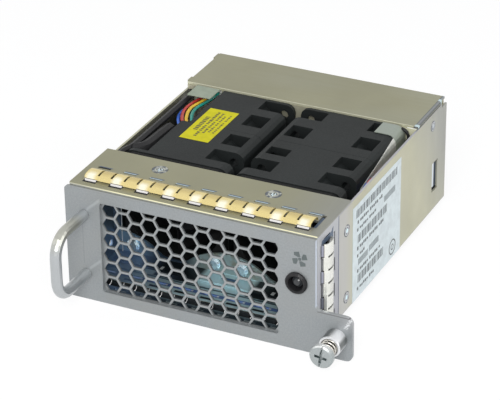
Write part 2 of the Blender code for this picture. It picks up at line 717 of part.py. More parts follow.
def pocket_profile(inner, outer, sign_x, sign_z, centre):
    """Recess between the round duct and the square outline of a fan frame."""
    duct = FAN_BORE / 2 + 0.9 * MM
    surface = FAN_SIZE / 2 + MM
    limit = min(outer, duct - 1.5 * MM)
    points = [(inner, surface), (outer, surface)]
    if outer > limit:
        points.append((outer, math.sqrt(duct ** 2 - limit ** 2)))
    steps = 2
    for index in range(steps + 1):
        x = limit + (inner - limit) * index / steps
        points.append((x, math.sqrt(duct ** 2 - x ** 2)))
    return [(centre[0] + sign_x * x, centre[1] + sign_z * z) for x, z in points]


def corner_pockets(name, sign_x, sign_z):
    """Cored lengths along one corner as (start, end, inner edge, open to the side)."""
    half = FAN_SIZE / 2
    inner = half - POCKET_WIDTH
    middle = STAGE_LENGTH / 2
    in_front = "front" in name
    if "left_" in name and sign_x < 0 and sign_z > 0:
        if in_front:
            return [(1.8 * MM, STAGE_LENGTH + MM, half - CHANNEL_WIDTH, True)]
        return [(-MM, STAGE_LENGTH + MM, inner, True)]
    if in_front:
        end = 2.7 * MM if sign_x > 0 else 5.4 * MM
        return [
            (4.8 * MM, middle - 1.3 * MM, inner, True),
            (middle + 3.2 * MM, STAGE_LENGTH - end, inner, False),
        ]
    shift = 1.3 * MM if sign_x > 0 else 0.0
    return [
        (4.2 * MM + shift, middle - 1.1 * MM + shift, inner, False),
        (middle + 5.4 * MM, STAGE_LENGTH - 1.6 * MM, inner, True),
    ]


def make_fan_frame(name, centre_x, front):
    """Square shell, round duct, four cored corners and a strutted motor mount."""
    half = FAN_SIZE / 2
    centre = (centre_x, FAN_CENTRE_Z)
    rear = front + STAGE_LENGTH - FIT
    corners = rectangle(centre_x - half, centre_x + half, FAN_CENTRE_Z - half, FAN_CENTRE_Z + half)
    outline = rounded(corners, [3.0 * MM] * 4, 3)
    shell = extrude(name, outline, "XZ", front, rear, (centre_x, front, FAN_CENTRE_Z))
    cut(shell, extrude("duct", circle(centre, FAN_BORE / 2, 36), "XZ", front - MM, rear + MM))
    pockets = bmesh.new()
    for sign_x in (-1, 1):
        for sign_z in (-1, 1):
            for start, end, inner, is_open in corner_pockets(name, sign_x, sign_z):
                outer = half + MM if is_open else half - 3.3 * MM
                outline = pocket_profile(inner, outer, sign_x, sign_z, centre)
                extrude_into(pockets, outline, "XZ", front + start, front + end)
    cut(shell, add_object("pockets", pockets))
    mount_start = rear - 3.2 * MM
    mount = revolve("mount", [
        (BEARING_RADIUS + FIT, mount_start), (BEARING_RADIUS + FIT, rear - 0.2 * MM),
        (HUB_RADIUS, rear - 0.2 * MM), (HUB_RADIUS, mount_start),
    ], centre, 20)
    for number in range(4):
        angle = math.radians(45 + 90 * number)
        across = Vector((math.cos(angle), math.sin(angle)))
        side = Vector((-across.y, across.x)) * 0.9 * MM
        base = Vector(centre)
        near = base + across * (HUB_RADIUS - MM)
        far = base + across * (FAN_BORE / 2 + 0.5 * MM)
        outline = [tuple(near + side), tuple(near - side), tuple(far - side), tuple(far + side)]
        join(mount, extrude("strut", outline, "XZ", mount_start + 0.3 * MM, rear - 0.4 * MM))
    join(shell, mount)
    holes = bmesh.new()
    for sign_x in (-1, 1):
        for sign_z in (-1, 1):
            at = (centre_x + sign_x * FAN_HOLE_SPACING / 2, FAN_CENTRE_Z + sign_z * FAN_HOLE_SPACING / 2)
            extrude_into(holes, circle(at, FAN_HOLE / 2, 8), "XZ", front - MM, rear + MM)
    cut(shell, add_object("holes", holes))
    return shell


def make_impeller(name, centre_x, front, direction, blades):
    """Hub cup with twisted blades, turned on its shaft's line."""
    centre = (centre_x, FAN_CENTRE_Z)
    hub_start = front + 2.6 * MM
    hub_end = front + STAGE_LENGTH - 4.6 * MM
    wall = 1.1 * MM
    hub = revolve(name, [
        (SHAFT_RADIUS, hub_start + 0.6 * MM),
        (SHAFT_RADIUS, hub_start + 3.4 * MM),
        (HUB_RADIUS - wall, hub_start + 3.4 * MM),
        (HUB_RADIUS - wall, hub_end),
        (HUB_RADIUS, hub_end),
        (HUB_RADIUS, hub_start + 1.2 * MM),
        (HUB_RADIUS - 1.2 * MM, hub_start),
        (SHAFT_RADIUS + 1.6 * MM, hub_start),
        (SHAFT_RADIUS + 1.6 * MM, hub_start + 0.6 * MM),
    ], centre, 20, (centre_x, front, FAN_CENTRE_Z))
    shape = bmesh.new()
    radial_steps = 2
    chord_steps = 3
    for number in range(blades):
        start_angle = 2 * math.pi * number / blades
        faces = []
        for side in (0, 1):
            grid = []
            for radial in range(radial_steps + 1):
                radius = HUB_RADIUS - 0.5 * MM + (BLADE_TIP - HUB_RADIUS + 0.5 * MM) * radial / radial_steps
                row = []
                for chord in range(chord_steps + 1):
                    along = chord / chord_steps
                    depth = front + 4.0 * MM + along * (STAGE_LENGTH - 10.4 * MM)
                    sweep = direction * (0.62 * along ** 0.8 + 0.12 * radial / radial_steps)
                    thick = 0.55 * MM * (0.35 + math.sin(math.pi * (0.1 + 0.8 * along)))
                    angle = start_angle + sweep + (side - 0.5) * thick / radius * 1.6
                    row.append(shape.verts.new((
                        centre_x + radius * math.cos(angle),
                        depth,
                        FAN_CENTRE_Z + radius * math.sin(angle),
                    )))
                grid.append(row)
            faces.append(grid)
        near, far = faces
        for radial in range(radial_steps):
            for chord in range(chord_steps):
                shape.faces.new((near[radial][chord], near[radial][chord + 1],
                                 near[radial + 1][chord + 1], near[radial + 1][chord]))
                shape.faces.new((far[radial][chord], far[radial + 1][chord],
                                 far[radial + 1][chord + 1], far[radial][chord + 1]))
        for radial in range(radial_steps):
            for edge in (0, chord_steps):
                shape.faces.new((near[radial][edge], near[radial + 1][edge],
                                 far[radial + 1][edge], far[radial][edge]))
        for chord in range(chord_steps):
            for edge in (0, radial_steps):
                shape.faces.new((near[edge][chord], near[edge][chord + 1],
                                 far[edge][chord + 1], far[edge][chord]))
    join(hub, add_object("blades", shape))
    return hub


def make_shaft(name, centre_x, front):
    centre = (centre_x, FAN_CENTRE_Z)
    start = front + 3.4 * MM
    end = front + STAGE_LENGTH - 1.4 * MM
    radius = SHAFT_RADIUS - 0.02 * MM
    return revolve(name, [(0.0, start), (radius, start), (radius, end), (0.0, end)], centre, 16)


def make_stator(name, centre_x, front):
    """Bearing tube pressed in the motor mount with a wound core of four poles."""
    centre = (centre_x, FAN_CENTRE_Z)
    tube_start = front + 7.6 * MM
    tube_end = front + STAGE_LENGTH - FIT - 0.6 * MM
    bore = SHAFT_RADIUS + SHAFT_CLEARANCE
    tube = revolve(name, [
        (bore, tube_start), (bore, tube_end), (BEARING_RADIUS, tube_end), (BEARING_RADIUS, tube_start),
    ], centre, 12, (centre_x, tube_start, FAN_CENTRE_Z))
    for number in range(4):
        angle = math.radians(90 * number)
        across = Vector((math.cos(angle), math.sin(angle)))
        side = Vector((-across.y, across.x))
        base = Vector(centre)
        outline = [tuple(base + across * reach * MM + side * width * MM) for reach, width in POLE_SHAPE]
        join(tube, extrude("pole", outline, "XZ", front + 9.5 * MM, front + STAGE_LENGTH - 7.0 * MM))
    return tube


def make_handle():
    """Round bar swept along a U, its legs ending on the faceplate."""
    line = []
    legs = ((HANDLE_HIGH, 1), (HANDLE_LOW, -1))
    line.append(Vector((HANDLE_X, -FIT, HANDLE_HIGH)))
    for z, sign in legs:
        bend_centre = Vector((HANDLE_X, -HANDLE_REACH + HANDLE_BEND, z - sign * HANDLE_BEND))
        steps = 7
        arc = []
        for step in range(steps + 1):
            angle = math.pi / 2 * step / steps
            offset = Vector((0, -math.sin(angle), sign * math.cos(angle))) * HANDLE_BEND
            arc.append(bend_centre + offset)
        line.extend(arc if sign > 0 else reversed(arc))
    line.append(Vector((HANDLE_X, -FIT, HANDLE_LOW)))
    bar = tube("handle", line, HANDLE_BAR / 2, 14)
    holes = bmesh.new()
    for z in (HANDLE_LOW, HANDLE_HIGH):
        extrude_into(holes, circle((HANDLE_X, z), HANDLE_SCREW + FIT, 12), "XZ", -8.0 * MM, MM)
    cut(bar, add_object("holes", holes))
    return bar


def tube(name, line, radius, sides=8, origin=None):
    """Sweep a circle along a line of points without twisting it."""
    shape = bmesh.new()
    rings = []
    up = None
    count = len(line)
    for index, point in enumerate(line):
        before = line[max(index - 1, 0)]
        after = line[min(index + 1, count - 1)]
        along = (after - before).normalized()
        if up is None:
            guess = Vector((1, 0, 0)) if abs(along.x) < 0.8 else Vector((0, 0, 1))
            up = (guess - along * guess.dot(along)).normalized()
        else:
            up = (up - along * up.dot(along)).normalized()
        side = along.cross(up)
        ring = []
        for step in range(sides):
            angle = 2 * math.pi * step / sides
            spoke = up * math.cos(angle) + side * math.sin(angle)
            ring.append(shape.verts.new(point + spoke * radius))
        rings.append(ring)
    for first, second in zip(rings, rings[1:]):
        for step in range(sides):
            after = (step + 1) % sides
            shape.faces.new((first[step], first[after], second[after], second[step]))
    shape.faces.new(rings[0])
    shape.faces.new(list(reversed(rings[-1])))
    return add_object(name, shape, origin if origin is not None else tuple(line[0]))


def curve_through(points, steps=5):
    """Smooth line through the given points."""
    spots = [2 * points[0] - points[1]] + points + [2 * points[-1] - points[-2]]
    line = []
    for index in range(1, len(spots) - 2):
        a, b, c, d = spots[index - 1:index + 3]
        for step in range(steps):
            t = step / steps
            line.append(0.5 * ((2 * b) + (c - a) * t + (2 * a - 5 * b + 4 * c - d) * t ** 2
                               + (3 * b - a - 3 * c + d) * t ** 3))
    line.append(spots[-2])
    return line


def make_fan_gasket(name, centre_x):
    """Foam ring between the bracket and the inlet of one fan, notched for the screws."""
    start = BRACKET_FRONT + SHEET + FIT
    end = FAN_FRONT - FIT
    half = FAN_SIZE / 2 - 0.4 * MM
    centre = (centre_x, FAN_CENTRE_Z)
    outline = rectangle(centre_x - half, centre_x + half, FAN_CENTRE_Z - half, FAN_CENTRE_Z + half)
    ring = extrude(name, rounded(outline, [3.0 * MM] * 4, 2), "XZ", start, end)
    holes = bmesh.new()
    extrude_into(holes, circle(centre, FAN_BORE / 2, 28), "XZ", start - MM, end + MM)
    for sign_x in (-1, 1):
        for sign_z in (-1, 1):
            at = (centre_x + sign_x * FAN_HOLE_SPACING / 2, FAN_CENTRE_Z + sign_z * FAN_HOLE_SPACING / 2)
            extrude_into(holes, circle(at, 1.3 * MM, 8), "XZ", start - MM, end + MM)
    return cut(ring, add_object("holes", holes))


LEAD_RADIUS = 0.6 * MM
SLEEVE_CABLE_RADIUS = 1.2 * MM
FAN_SLEEVE_RADIUS = 2.2 * MM


def steps_from(x, y, z, points):
    """Points of a lead in millimetres from a place that it follows."""
    datum = Vector((x, y, z))
    return [datum + Vector(point) * MM for point in points]


def left_lead(start, end):
    """A lead of the left fan: it leaves the motor behind the split and ends at the rear."""
    return steps_from(FANS_LEFT, FAN_SPLIT, FAN_TOP, start) + steps_from(FANS_LEFT, FAN_REAR, FAN_TOP, end)


LEFT_LEADS = {
    "lead_blue": left_lead([
        (7.23, -0.7, -3.31), (6.53, 0.6, -2.81), (4.43, 3.8, -2.51), (2.63, 8.4, -2.71),
        (1.88, 12.6, -3.01),
    ], [
        (2.13, -10.8, -3.31), (2.63, -5.4, -3.41), (2.93, 1.3, -3.41),
    ]),
    "lead_red": left_lead([
        (8.43, 0.6, -3.01), (7.73, 1.6, -2.31), (5.93, 4.0, -1.81), (4.13, 8.4, -1.51),
        (3.43, 13.2, -1.41),
    ], [
        (3.73, -9.4, -1.81), (4.43, -4.4, -2.01), (4.63, 1.3, -2.01),
    ]),
    "lead_yellow": left_lead([
        (9.43, 1.2, -2.41), (8.93, 2.2, -2.11), (7.33, 4.6, -1.81), (5.73, 9.0, -1.51),
        (5.03, 13.6, -1.51),
    ], [
        (5.53, -8.8, -2.01), (6.13, -4.4, -2.11), (6.33, 1.3, -2.11),
    ]),
    "lead_green": left_lead([
        (10.13, 3.6, -2.21), (9.43, 4.8, -1.91), (8.23, 7.2, -1.71), (7.03, 10.8, -1.71),
        (6.73, 15.0, -1.81),
    ], [
        (7.33, -8.4, -2.11), (7.93, -4.4, -2.21), (8.13, 1.3, -2.21),
    ]),
}
LEFT_CABLE = (
    steps_from(LIGHT_X, 0.0, LIGHT_Z, [
        (0.0, 9.9, 0.0), (0.0, 12.5, 0.6), (-0.4, 15.0, 5.1),
    ])
    + steps_from(LIGHT_X, FLANGE_END, CHASSIS_TOP, [
        (-3.0, -2.7, -6.36), (-8.0, -2.5, -3.96), (-27.0, -2.5, -3.66),
    ])
    + steps_from(CHASSIS_LEFT, FLANGE_END, CHASSIS_TOP, [
        (28.96, -2.5, -3.66), (7.96, -1.2, -3.66), (4.16, 3.3, -3.56),
    ])
    + steps_from(FANS_LEFT, FAN_FRONT, FAN_TOP, [
        (-1.57, -4.4, -2.51), (-1.47, 1.0, -1.81), (-0.37, 4.2, -1.71), (0.03, 7.6, -1.71),
    ])
    + steps_from(FANS_LEFT, FAN_SPLIT, FAN_TOP, [
        (0.13, -8.4, -1.71), (0.13, 5.6, -1.71),
    ])
    + steps_from(FANS_LEFT, FAN_REAR, FAN_TOP, [
        (0.03, -13.4, -1.81), (-0.57, -7.8, -2.41), (-1.57, -3.4, -3.61), (-1.87, -0.4, -4.21),
        (-1.57, 4.2, -5.11),
    ])
    + steps_from(CONNECTOR_LEFT, CHASSIS_REAR, REAR_WALL_TOP, [
        (-22.0, -16.0, 10.0), (-9.0, -11.4, -2.5), (-6.0, -9.1, -4.5),
    ])
)
FAN_SLEEVE = steps_from(FANS_LEFT, FAN_FRONT, FAN_TOP, [
    (0.43, 5.0, -2.31), (2.13, 5.8, -2.41), (3.63, 8.6, -2.51), (4.03, 12.6, -2.61),
]) + steps_from(FANS_LEFT, FAN_SPLIT, FAN_TOP, [
    (4.23, -8.4, -2.71), (4.23, -2.0, -3.11),
])
RIGHT_CABLE = steps_from(FANS_RIGHT, FAN_REAR, CHASSIS_TOP, [
    (-8.77, 15.6, -13.86), (-2.77, 9.6, -5.86), (0.63, 4.6, -2.66), (2.13, 0.2, -2.26),
    (2.73, -3.6, -2.76), (2.73, -7.4, -4.66), (2.63, -10.9, -8.86), (2.53, -14.5, -10.66),
])
RIGHT_LEADS = {
    "right_lead_red": steps_from(FANS_RIGHT, FAN_REAR, CHASSIS_TOP, [
        (2.83, -46.4, -9.86), (2.83, -42.8, -5.26), (2.83, -38.4, -3.26), (2.83, -32.4, -4.86),
        (2.73, -23.4, -8.46), (2.63, -15.0, -9.96),
    ]),
    "right_lead_blue": steps_from(FANS_RIGHT, FAN_REAR, CHASSIS_TOP, [
        (1.33, -45.4, -11.86), (1.33, -41.8, -7.26), (1.33, -37.4, -5.26), (1.33, -31.4, -7.26),
        (1.63, -23.4, -10.66), (2.43, -15.0, -11.36),
    ]),
}


def make_tapes():
    """Tape over the left fan's lead channel and foil folded over the right fan's corner."""
    thick = 0.25 * MM
    under = FAN_TOP + FIT
    tape_end = FAN_REAR - 0.5 * MM
    tape_low = (FANS_LEFT + 0.33 * MM, FAN_REAR - 9.0 * MM, under)
    tape_high = (FANS_LEFT + 9.63 * MM, tape_end, under + thick)
    left = box("left_tape", tape_low, tape_high)
    edge = FANS_RIGHT
    bend = 3.0 * MM
    foil_left = edge - 8.17 * MM
    foil_bottom = FAN_TOP - 12.31 * MM
    outer = [(foil_left, under + thick)]
    inner = [(foil_left, under)]
    for step in range(5):
        angle = math.pi / 2 * step / 4
        centre = (edge - bend, FAN_TOP - bend)
        for line, radius in ((outer, bend + FIT + thick), (inner, bend + FIT)):
            line.append((centre[0] + radius * math.sin(angle), centre[1] + radius * math.cos(angle)))
    outer.append((edge + FIT + thick, foil_bottom))
    inner.append((edge + FIT, foil_bottom))
    foil = extrude("right_tape", outer + list(reversed(inner)), "XZ", FAN_REAR - 40.4 * MM, tape_end)
    slant = [
        (-41.4, 1.69), (-8.8, 1.69), (-8.8, -0.71), (-18.4, -1.71), (-30.4, -3.71), (-41.4, -5.81),
    ]
    outline = [(FAN_REAR + y * MM, FAN_TOP + z * MM) for y, z in slant]
    cut(foil, extrude("slant", outline, "YZ", foil_left - 5.6 * MM, edge + 6.23 * MM))
    return left, foil


def arm_cutter(centre, turn, length, half_width, depth):
    """Straight bar at an angle, to cut one arm of a screw's recess from the front."""
    across = Vector((math.cos(math.radians(turn)), math.sin(math.radians(turn))))
    side = Vector((-across.y, across.x))
    outline = []
    for u, v in ((-1, -1), (1, -1), (1, 1), (-1, 1)):
        outline.append(tuple(Vector(centre) + across * (length * u) + side * (half_width * v)))
    return extrude("arm", outline, "XZ", -SCREW_HEAD_FRONT - 0.2 * MM, depth)


def make_captive_screw():
    """Head with a cross recess and a slot, waisted shank and threaded end."""
    centre = (SCREW_X, SCREW_Z)
    head = -SCREW_HEAD_FRONT
    screw = revolve("captive_screw", [
        (0.0, head),
        (SCREW_HEAD_RADIUS - 0.5 * MM, head),
        (SCREW_HEAD_RADIUS, head + 0.5 * MM),
        (SCREW_HEAD_RADIUS, head + SCREW_HEAD_LENGTH),
        (SCREW_SHANK, head + SCREW_HEAD_LENGTH),
        (SCREW_SHANK, 2.1 * MM),
        (SCREW_THREAD, 2.3 * MM),
        (SCREW_THREAD, 7.4 * MM),
        (SCREW_THREAD - 0.7 * MM, 8.2 * MM),
        (0.0, 8.2 * MM),
    ], centre, 24, (SCREW_X, 0.0, SCREW_Z))
    cutter = arm_cutter(centre, -8, 2.2 * MM, 0.5 * MM, head + 1.3 * MM)
    join(cutter, arm_cutter(centre, 82, 2.2 * MM, 0.5 * MM, head + 1.3 * MM))
    cut(screw, cutter)
    cut(screw, arm_cutter(centre, 82, SCREW_HEAD_RADIUS + 0.4 * MM, 0.28 * MM, head + 0.7 * MM))
    return screw


def make_sleeve():
    """Flanged sleeve pressed in the ear, bored for the spring."""
    centre = (SCREW_X, SCREW_Z)
    return revolve("screw_sleeve", [
        (SCREW_SHANK + SHANK_ROOM, PLATE_THICKNESS),
        (SLEEVE_BARREL, PLATE_THICKNESS),
        (SLEEVE_BARREL, -FIT),
        (SLEEVE_RADIUS, -FIT),
        (SLEEVE_RADIUS, -SLEEVE_LENGTH + 0.7 * MM),
        (SLEEVE_RADIUS - 0.5 * MM, -SLEEVE_LENGTH),
        (SLEEVE_BORE, -SLEEVE_LENGTH),
        (SLEEVE_BORE, -2.2 * MM),
        (SCREW_SHANK + SHANK_ROOM, -2.2 * MM),
    ], centre, 24)


def make_spring():
    centre = (SCREW_X, SCREW_Z)
    start = -2.4 * MM
    end = -SCREW_HEAD_FRONT + SCREW_HEAD_LENGTH + FIT
    turns = 7.0
    wire = SPRING_WIRE
    radius = SPRING_RADIUS
    line = []
    steps = int(turns * 9)
    for step in range(steps + 1):
        share = step / steps
        angle = 2 * math.pi * turns * share
        depth = start - wire + (end - start + 2 * wire) * share
        x = centre[0] + radius * math.cos(angle)
        z = centre[1] + radius * math.sin(angle)
        line.append(Vector((x, depth, z)))
    return tube("screw_spring", line, wire, 5, (SCREW_X, start, SCREW_Z))


def make_ring():
    """Retaining ring on the shank, stopped by the thread behind and the sleeve in front."""
    centre = (SCREW_X, SCREW_Z)
    start = PLATE_THICKNESS + FIT
    bore = SCREW_SHANK + 0.05 * MM
    return revolve("retaining_ring", [
        (bore, start), (bore, start + 0.6 * MM), (RING_RADIUS, start + 0.6 * MM), (RING_RADIUS, start),
    ], centre, 20)


def make_light():
    centre = (LIGHT_X, LIGHT_Z)
    bezel = revolve("light_bezel", [
        (2.3 * MM, 0.6 * MM),
        (2.8 * MM, -1.1 * MM),
        (LIGHT_RADIUS - 0.6 * MM, -1.3 * MM),
        (LIGHT_RADIUS, -0.8 * MM),
        (LIGHT_RADIUS, -FIT),
        (LIGHT_BARREL, -FIT),
        (LIGHT_BARREL, 7.0 * MM),
        (2.3 * MM, 7.0 * MM),
    ], centre, 24)
    lens = revolve("light_lens", [
        (0.0, -0.5 * MM),
        (1.1 * MM, -0.2 * MM),
        (2.0 * MM, 0.6 * MM),
        (2.2 * MM, 1.4 * MM),
        (2.2 * MM, 7.6 * MM),
        (0.0, 7.6 * MM),
    ], centre, 16)
    return bezel, lens


def make_flat_screw(name, x, y):
    """Countersunk screw flush with the top strip."""
    top = CHASSIS_TOP
    profile = [
        (0.0, top),
        (FLAT_HEAD, top),
        (FLAT_HEAD, top - 0.25 * MM),
        (FLAT_THREAD, top - 0.25 * MM - (FLAT_HEAD - FLAT_THREAD)),
        (FLAT_THREAD, top - 5.0 * MM),
        (0.0, top - 5.0 * MM),
    ]
    head = revolve_up(name, profile, (x, y), 24)
    arm_long = 1.7 * MM
    arm_half = 0.34 * MM
    deep = top - 0.9 * MM
    wide = rectangle(x - arm_long, x + arm_long, y - arm_half, y + arm_half)
    tall = rectangle(x - arm_half, x + arm_half, y - arm_long, y + arm_long)
    cutter = extrude("cross", wide, "XY", deep, top + MM)
    join(cutter, extrude("arm", tall, "XY", deep, top + MM))
    return cut(head, cutter)


def revolve_up(name, profile, centre, steps):
    """Turn a profile of (radius, z) points around a vertical line."""
    made = revolve(name, profile, (0.0, 0.0), steps, (0.0, 0.0, 0.0))
    for vert in made.data.vertices:
        x, y, z = vert.co
        vert.co = (x, -z, y)
    made.data.update()
    low = min(level for _, level in profile)
    for vert in made.data.vertices:
        vert.co.z -= low
    made.location = (centre[0], centre[1], low)
    return made


def make_pan_screw(name, x, y, z, head_radius, length):
    """Pan head screw whose shank runs along +Y."""
    return revolve(name, [
        (0.0, y - 1.25 * MM),
        (head_radius * 0.62, y - 1.15 * MM),
        (head_radius, y - 0.6 * MM),
        (head_radius, y),
        (1.15 * MM, y),
        (1.15 * MM, y + length),
        (0.0, y + length),
    ], (x, z), 16)


def make_side_fastener(name, y, z, head_radius, shank_radius, wall_x, length):
    """Low round head on the right wall with its shank through the sheets."""
    outer = wall_x + FIT
    made = revolve(name, [
        (0.0, -0.75 * MM),
        (head_radius * 0.7, -0.65 * MM),
        (head_radius, -0.2 * MM),
        (head_radius, 0.0),
        (shank_radius, 0.0),
        (shank_radius, length),
        (0.0, length),
    ], (0.0, 0.0), 16, (0.0, 0.0, 0.0))
    for vert in made.data.vertices:
        vx, vy, vz = vert.co
        vert.co = (-vy, vx, vz)
    made.data.update()
    made.location = (outer, y, z)
    return made


def build():
    clear_scene()
    zinc = material("zinc_sheet", (0.40, 0.38, 0.30), 0.42, 0.8)
    wall_zinc = material("wall_sheet", (0.52, 0.49, 0.36), 0.45, 0.7)
    grey = material("satin_grey", (0.30, 0.34, 0.34), 0.5, 0.3)
    gold = material("gold_fingers", (0.80, 0.62, 0.28), 0.25, 1.0)
    silver = material("silver_fingers", (0.75, 0.75, 0.70), 0.3, 0.9)
    aluminium = material("bar_aluminium", (0.62, 0.65, 0.66), 0.35, 0.9)
    steel = material("screw_steel", (0.60, 0.60, 0.56), 0.3, 1.0)
    black = material("black_plastic", (0.028, 0.028, 0.026), 0.5, 0.0)
    blades = material("blade_plastic", (0.018, 0.018, 0.018), 0.35, 0.0)
    dark_lens = material("lens", (0.06, 0.06, 0.065), 0.15, 0.0)
    copper = material("windings", (0.45, 0.22, 0.10), 0.4, 0.8)
    board = material("board_green", (0.03, 0.16, 0.07), 0.5, 0.0)
    white = material("connector_white", (0.75, 0.75, 0.70), 0.5, 0.0)
    tape = material("foil_tape", (0.48, 0.50, 0.47), 0.4, 0.2)

    finish(make_faceplate(), grey)
    finish(make_front_frame(), zinc)
    finish(make_tray(), wall_zinc)
    finish(make_rear_cover(), zinc)
    finish(make_fan_bracket(), wall_zinc)
    finish(make_bulkhead(), wall_zinc)
    finish(make_stiffener(), zinc)

    finish(make_gasket("top_gasket", TOP_FINGERS, TOP_FINGER_START, "top"), gold, True)
    finish(make_gasket("bottom_gasket", TOP_FINGERS, TOP_FINGER_START, "bottom"), silver, True)
    finish(make_gasket("right_gasket", SIDE_FINGERS, SIDE_FINGER_START, "right"), silver, True)
    finish(make_gasket("left_gasket", SIDE_FINGERS, SIDE_FINGER_START, "left"), silver, True)

    finish(make_handle(), aluminium, True)
    for label, z in (("high", HANDLE_HIGH), ("low", HANDLE_LOW)):
        behind = FRAME_FRONT + SHEET + FIT
        screw = revolve("handle_screw_" + label, [
            (0.0, behind + 1.4 * MM), (1.7 * MM, behind + 1.3 * MM), (2.4 * MM, behind + 0.7 * MM),
            (2.4 * MM, behind), (HANDLE_SCREW, behind), (HANDLE_SCREW, -6.5 * MM), (0.0, -6.5 * MM),
        ], (HANDLE_X, z), 16)
        finish(screw, steel, True)

    bezel, lens = make_light()
    finish(bezel, black, True)
    finish(lens, dark_lens, True)

    finish(make_sleeve(), steel, True)
    finish(make_captive_screw(), steel, True)
    finish(make_spring(), steel, True)
    finish(make_ring(), steel, True)

    for side, centre_x in FAN_CENTRES.items():
        for stage, turn, blade_count in (("front", 1, 7), ("rear", -1, 5)):
            front = FAN_FRONT if stage == "front" else FAN_SPLIT
            label = side + "_" + stage
            frame = make_fan_frame("fan_frame_" + label, centre_x, front)
            finish(frame, black)
            finish(make_stator("stator_" + label, centre_x, front), copper)
            spinner = bpy.data.objects.new("axis_" + label, None)
            spinner.location = (centre_x, front, FAN_CENTRE_Z)
            bpy.context.collection.objects.link(spinner)
            bpy.context.view_layer.update()
            impeller = make_impeller("impeller_" + label, centre_x, front, turn, blade_count)
            finish(impeller, blades, True, spinner)
            finish(make_shaft("shaft_" + label, centre_x, front), steel, True, spinner)

    for number, x in enumerate(screw_columns(), 1):
        z = FAN_CENTRE_Z - FAN_HOLE_SPACING / 2
        screw = make_pan_screw("fan_screw_%d" % number, x, BRACKET_FRONT - FIT, z, 2.6 * MM, 6.0 * MM)
        finish(screw, steel, True)
    for label, (x, y) in zip(("left", "right"), TOP_SCREWS):
        finish(make_flat_screw("top_screw_" + label, x, y), steel)
    for label, (y, z) in zip(("high", "low"), SIDE_SCREWS):
        screw = make_side_fastener("side_screw_" + label, y, z, 2.4 * MM, SIDE_SHANK, CHASSIS_RIGHT, 3.0 * MM)
        finish(screw, steel, True)
    rivet = make_side_fastener("rear_rivet", RIVET_Y, RIVET_Z, 2.1 * MM, RIVET_SHANK, CHASSIS_RIGHT, 2.6 * MM)
    finish(rivet, steel, True)

    for side, centre_x in FAN_CENTRES.items():
        finish(make_fan_gasket("fan_gasket_" + side, centre_x), black)

    blue = material("lead_blue", (0.05, 0.14, 0.50), 0.4, 0.0)
    red = material("lead_red", (0.50, 0.05, 0.04), 0.4, 0.0)
    yellow = material("lead_yellow", (0.80, 0.52, 0.06), 0.4, 0.0)
    green = material("lead_green", (0.02, 0.32, 0.26), 0.4, 0.0)
    colours = {"blue": blue, "red": red, "yellow": yellow, "green": green}
    for name, route in {**LEFT_LEADS, **RIGHT_LEADS}.items():
        finish(tube(name, curve_through(route, 2), LEAD_RADIUS, 5), colours[name.split("_")[-1]], True)
    harness = tube("left_cable", curve_through(LEFT_CABLE, 2), SLEEVE_CABLE_RADIUS, 6)
    join(harness, tube("branch", curve_through(FAN_SLEEVE, 2), FAN_SLEEVE_RADIUS, 8))
    finish(harness, black, True)
    finish(tube("right_cable", curve_through(RIGHT_CABLE, 3), SLEEVE_CABLE_RADIUS - FIT, 6), black, True)
    plug_low = (FANS_LEFT + 1.73 * MM, FAN_REAR + 1.6 * MM, FAN_TOP - 5.31 * MM)
    plug_high = (FANS_LEFT + 9.53 * MM, FAN_REAR + 9.6 * MM, FAN_TOP - 1.01 * MM)
    finish(box("lead_plug", plug_low, plug_high), white)
    for strip in make_tapes():
        finish(strip, tape, True)

    connector = box("rear_connector", (CONNECTOR_LEFT, CONNECTOR_FRONT, CONNECTOR_BOTTOM),
                    (CONNECTOR_RIGHT, CONNECTOR_REAR, CONNECTOR_TOP))
    wall = CONNECTOR_WALL
    socket_low = (CONNECTOR_LEFT + wall, CONNECTOR_FRONT + 2.4 * MM, CONNECTOR_BOTTOM + wall)
    socket_high = (CONNECTOR_RIGHT - wall, CONNECTOR_REAR + MM, CONNECTOR_TOP - wall)
    cut(connector, box("socket", socket_low, socket_high))
    finish(connector, black)
    board_rear = CONNECTOR_FRONT - FIT
    board_low = (CONNECTOR_LEFT - BOARD_MARGIN, board_rear - BOARD_THICKNESS, CHASSIS_BOTTOM + SHEET + FIT)
    board_high = (CONNECTOR_RIGHT + BOARD_MARGIN, board_rear, REAR_WALL_TOP)
    finish(box("connector_board", board_low, board_high), board)

    for thing in bpy.data.objects:
        if thing.parent is None:
            thing.location = thing.location - EAR_SEAT


build()
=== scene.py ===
"""Looks for the switch fan tray: camera, light, materials and the thin surface details."""

import math

import bmesh
import bpy
from mathutils import Matrix, Vector


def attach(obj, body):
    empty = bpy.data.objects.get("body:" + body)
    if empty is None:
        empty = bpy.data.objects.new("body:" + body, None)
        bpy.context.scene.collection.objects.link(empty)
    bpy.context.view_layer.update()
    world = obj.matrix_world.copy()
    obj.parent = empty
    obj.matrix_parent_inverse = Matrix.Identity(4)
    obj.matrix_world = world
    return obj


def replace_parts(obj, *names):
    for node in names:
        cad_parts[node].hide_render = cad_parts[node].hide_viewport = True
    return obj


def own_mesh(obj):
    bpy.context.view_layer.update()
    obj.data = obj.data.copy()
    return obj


MM = 0.001

# Places below are in millimetres from the lower left corner of the faceplate's front:
# X across the faceplate, Y into the chassis, Z up. SEAT is the frame's own origin there.
SEAT = (98.5, 1.2, 13.5)
CHASSIS = "chassis"

# Sheets and finger strips
FAN_TOP = 43.31
STRIP_TOP = 43.86
STRIP_BOTTOM = 2.36
WALL_X = 93.8
INNER_LEFT = 1.85
INNER_RIGHT = 92.95
EAR_TOP = 16.9
FINGER_START = 4.9
FINGER_PITCH = 4.97
TOP_FINGERS = 17
SIDE_FINGER_START = 4.3
SIDE_FINGERS = 7

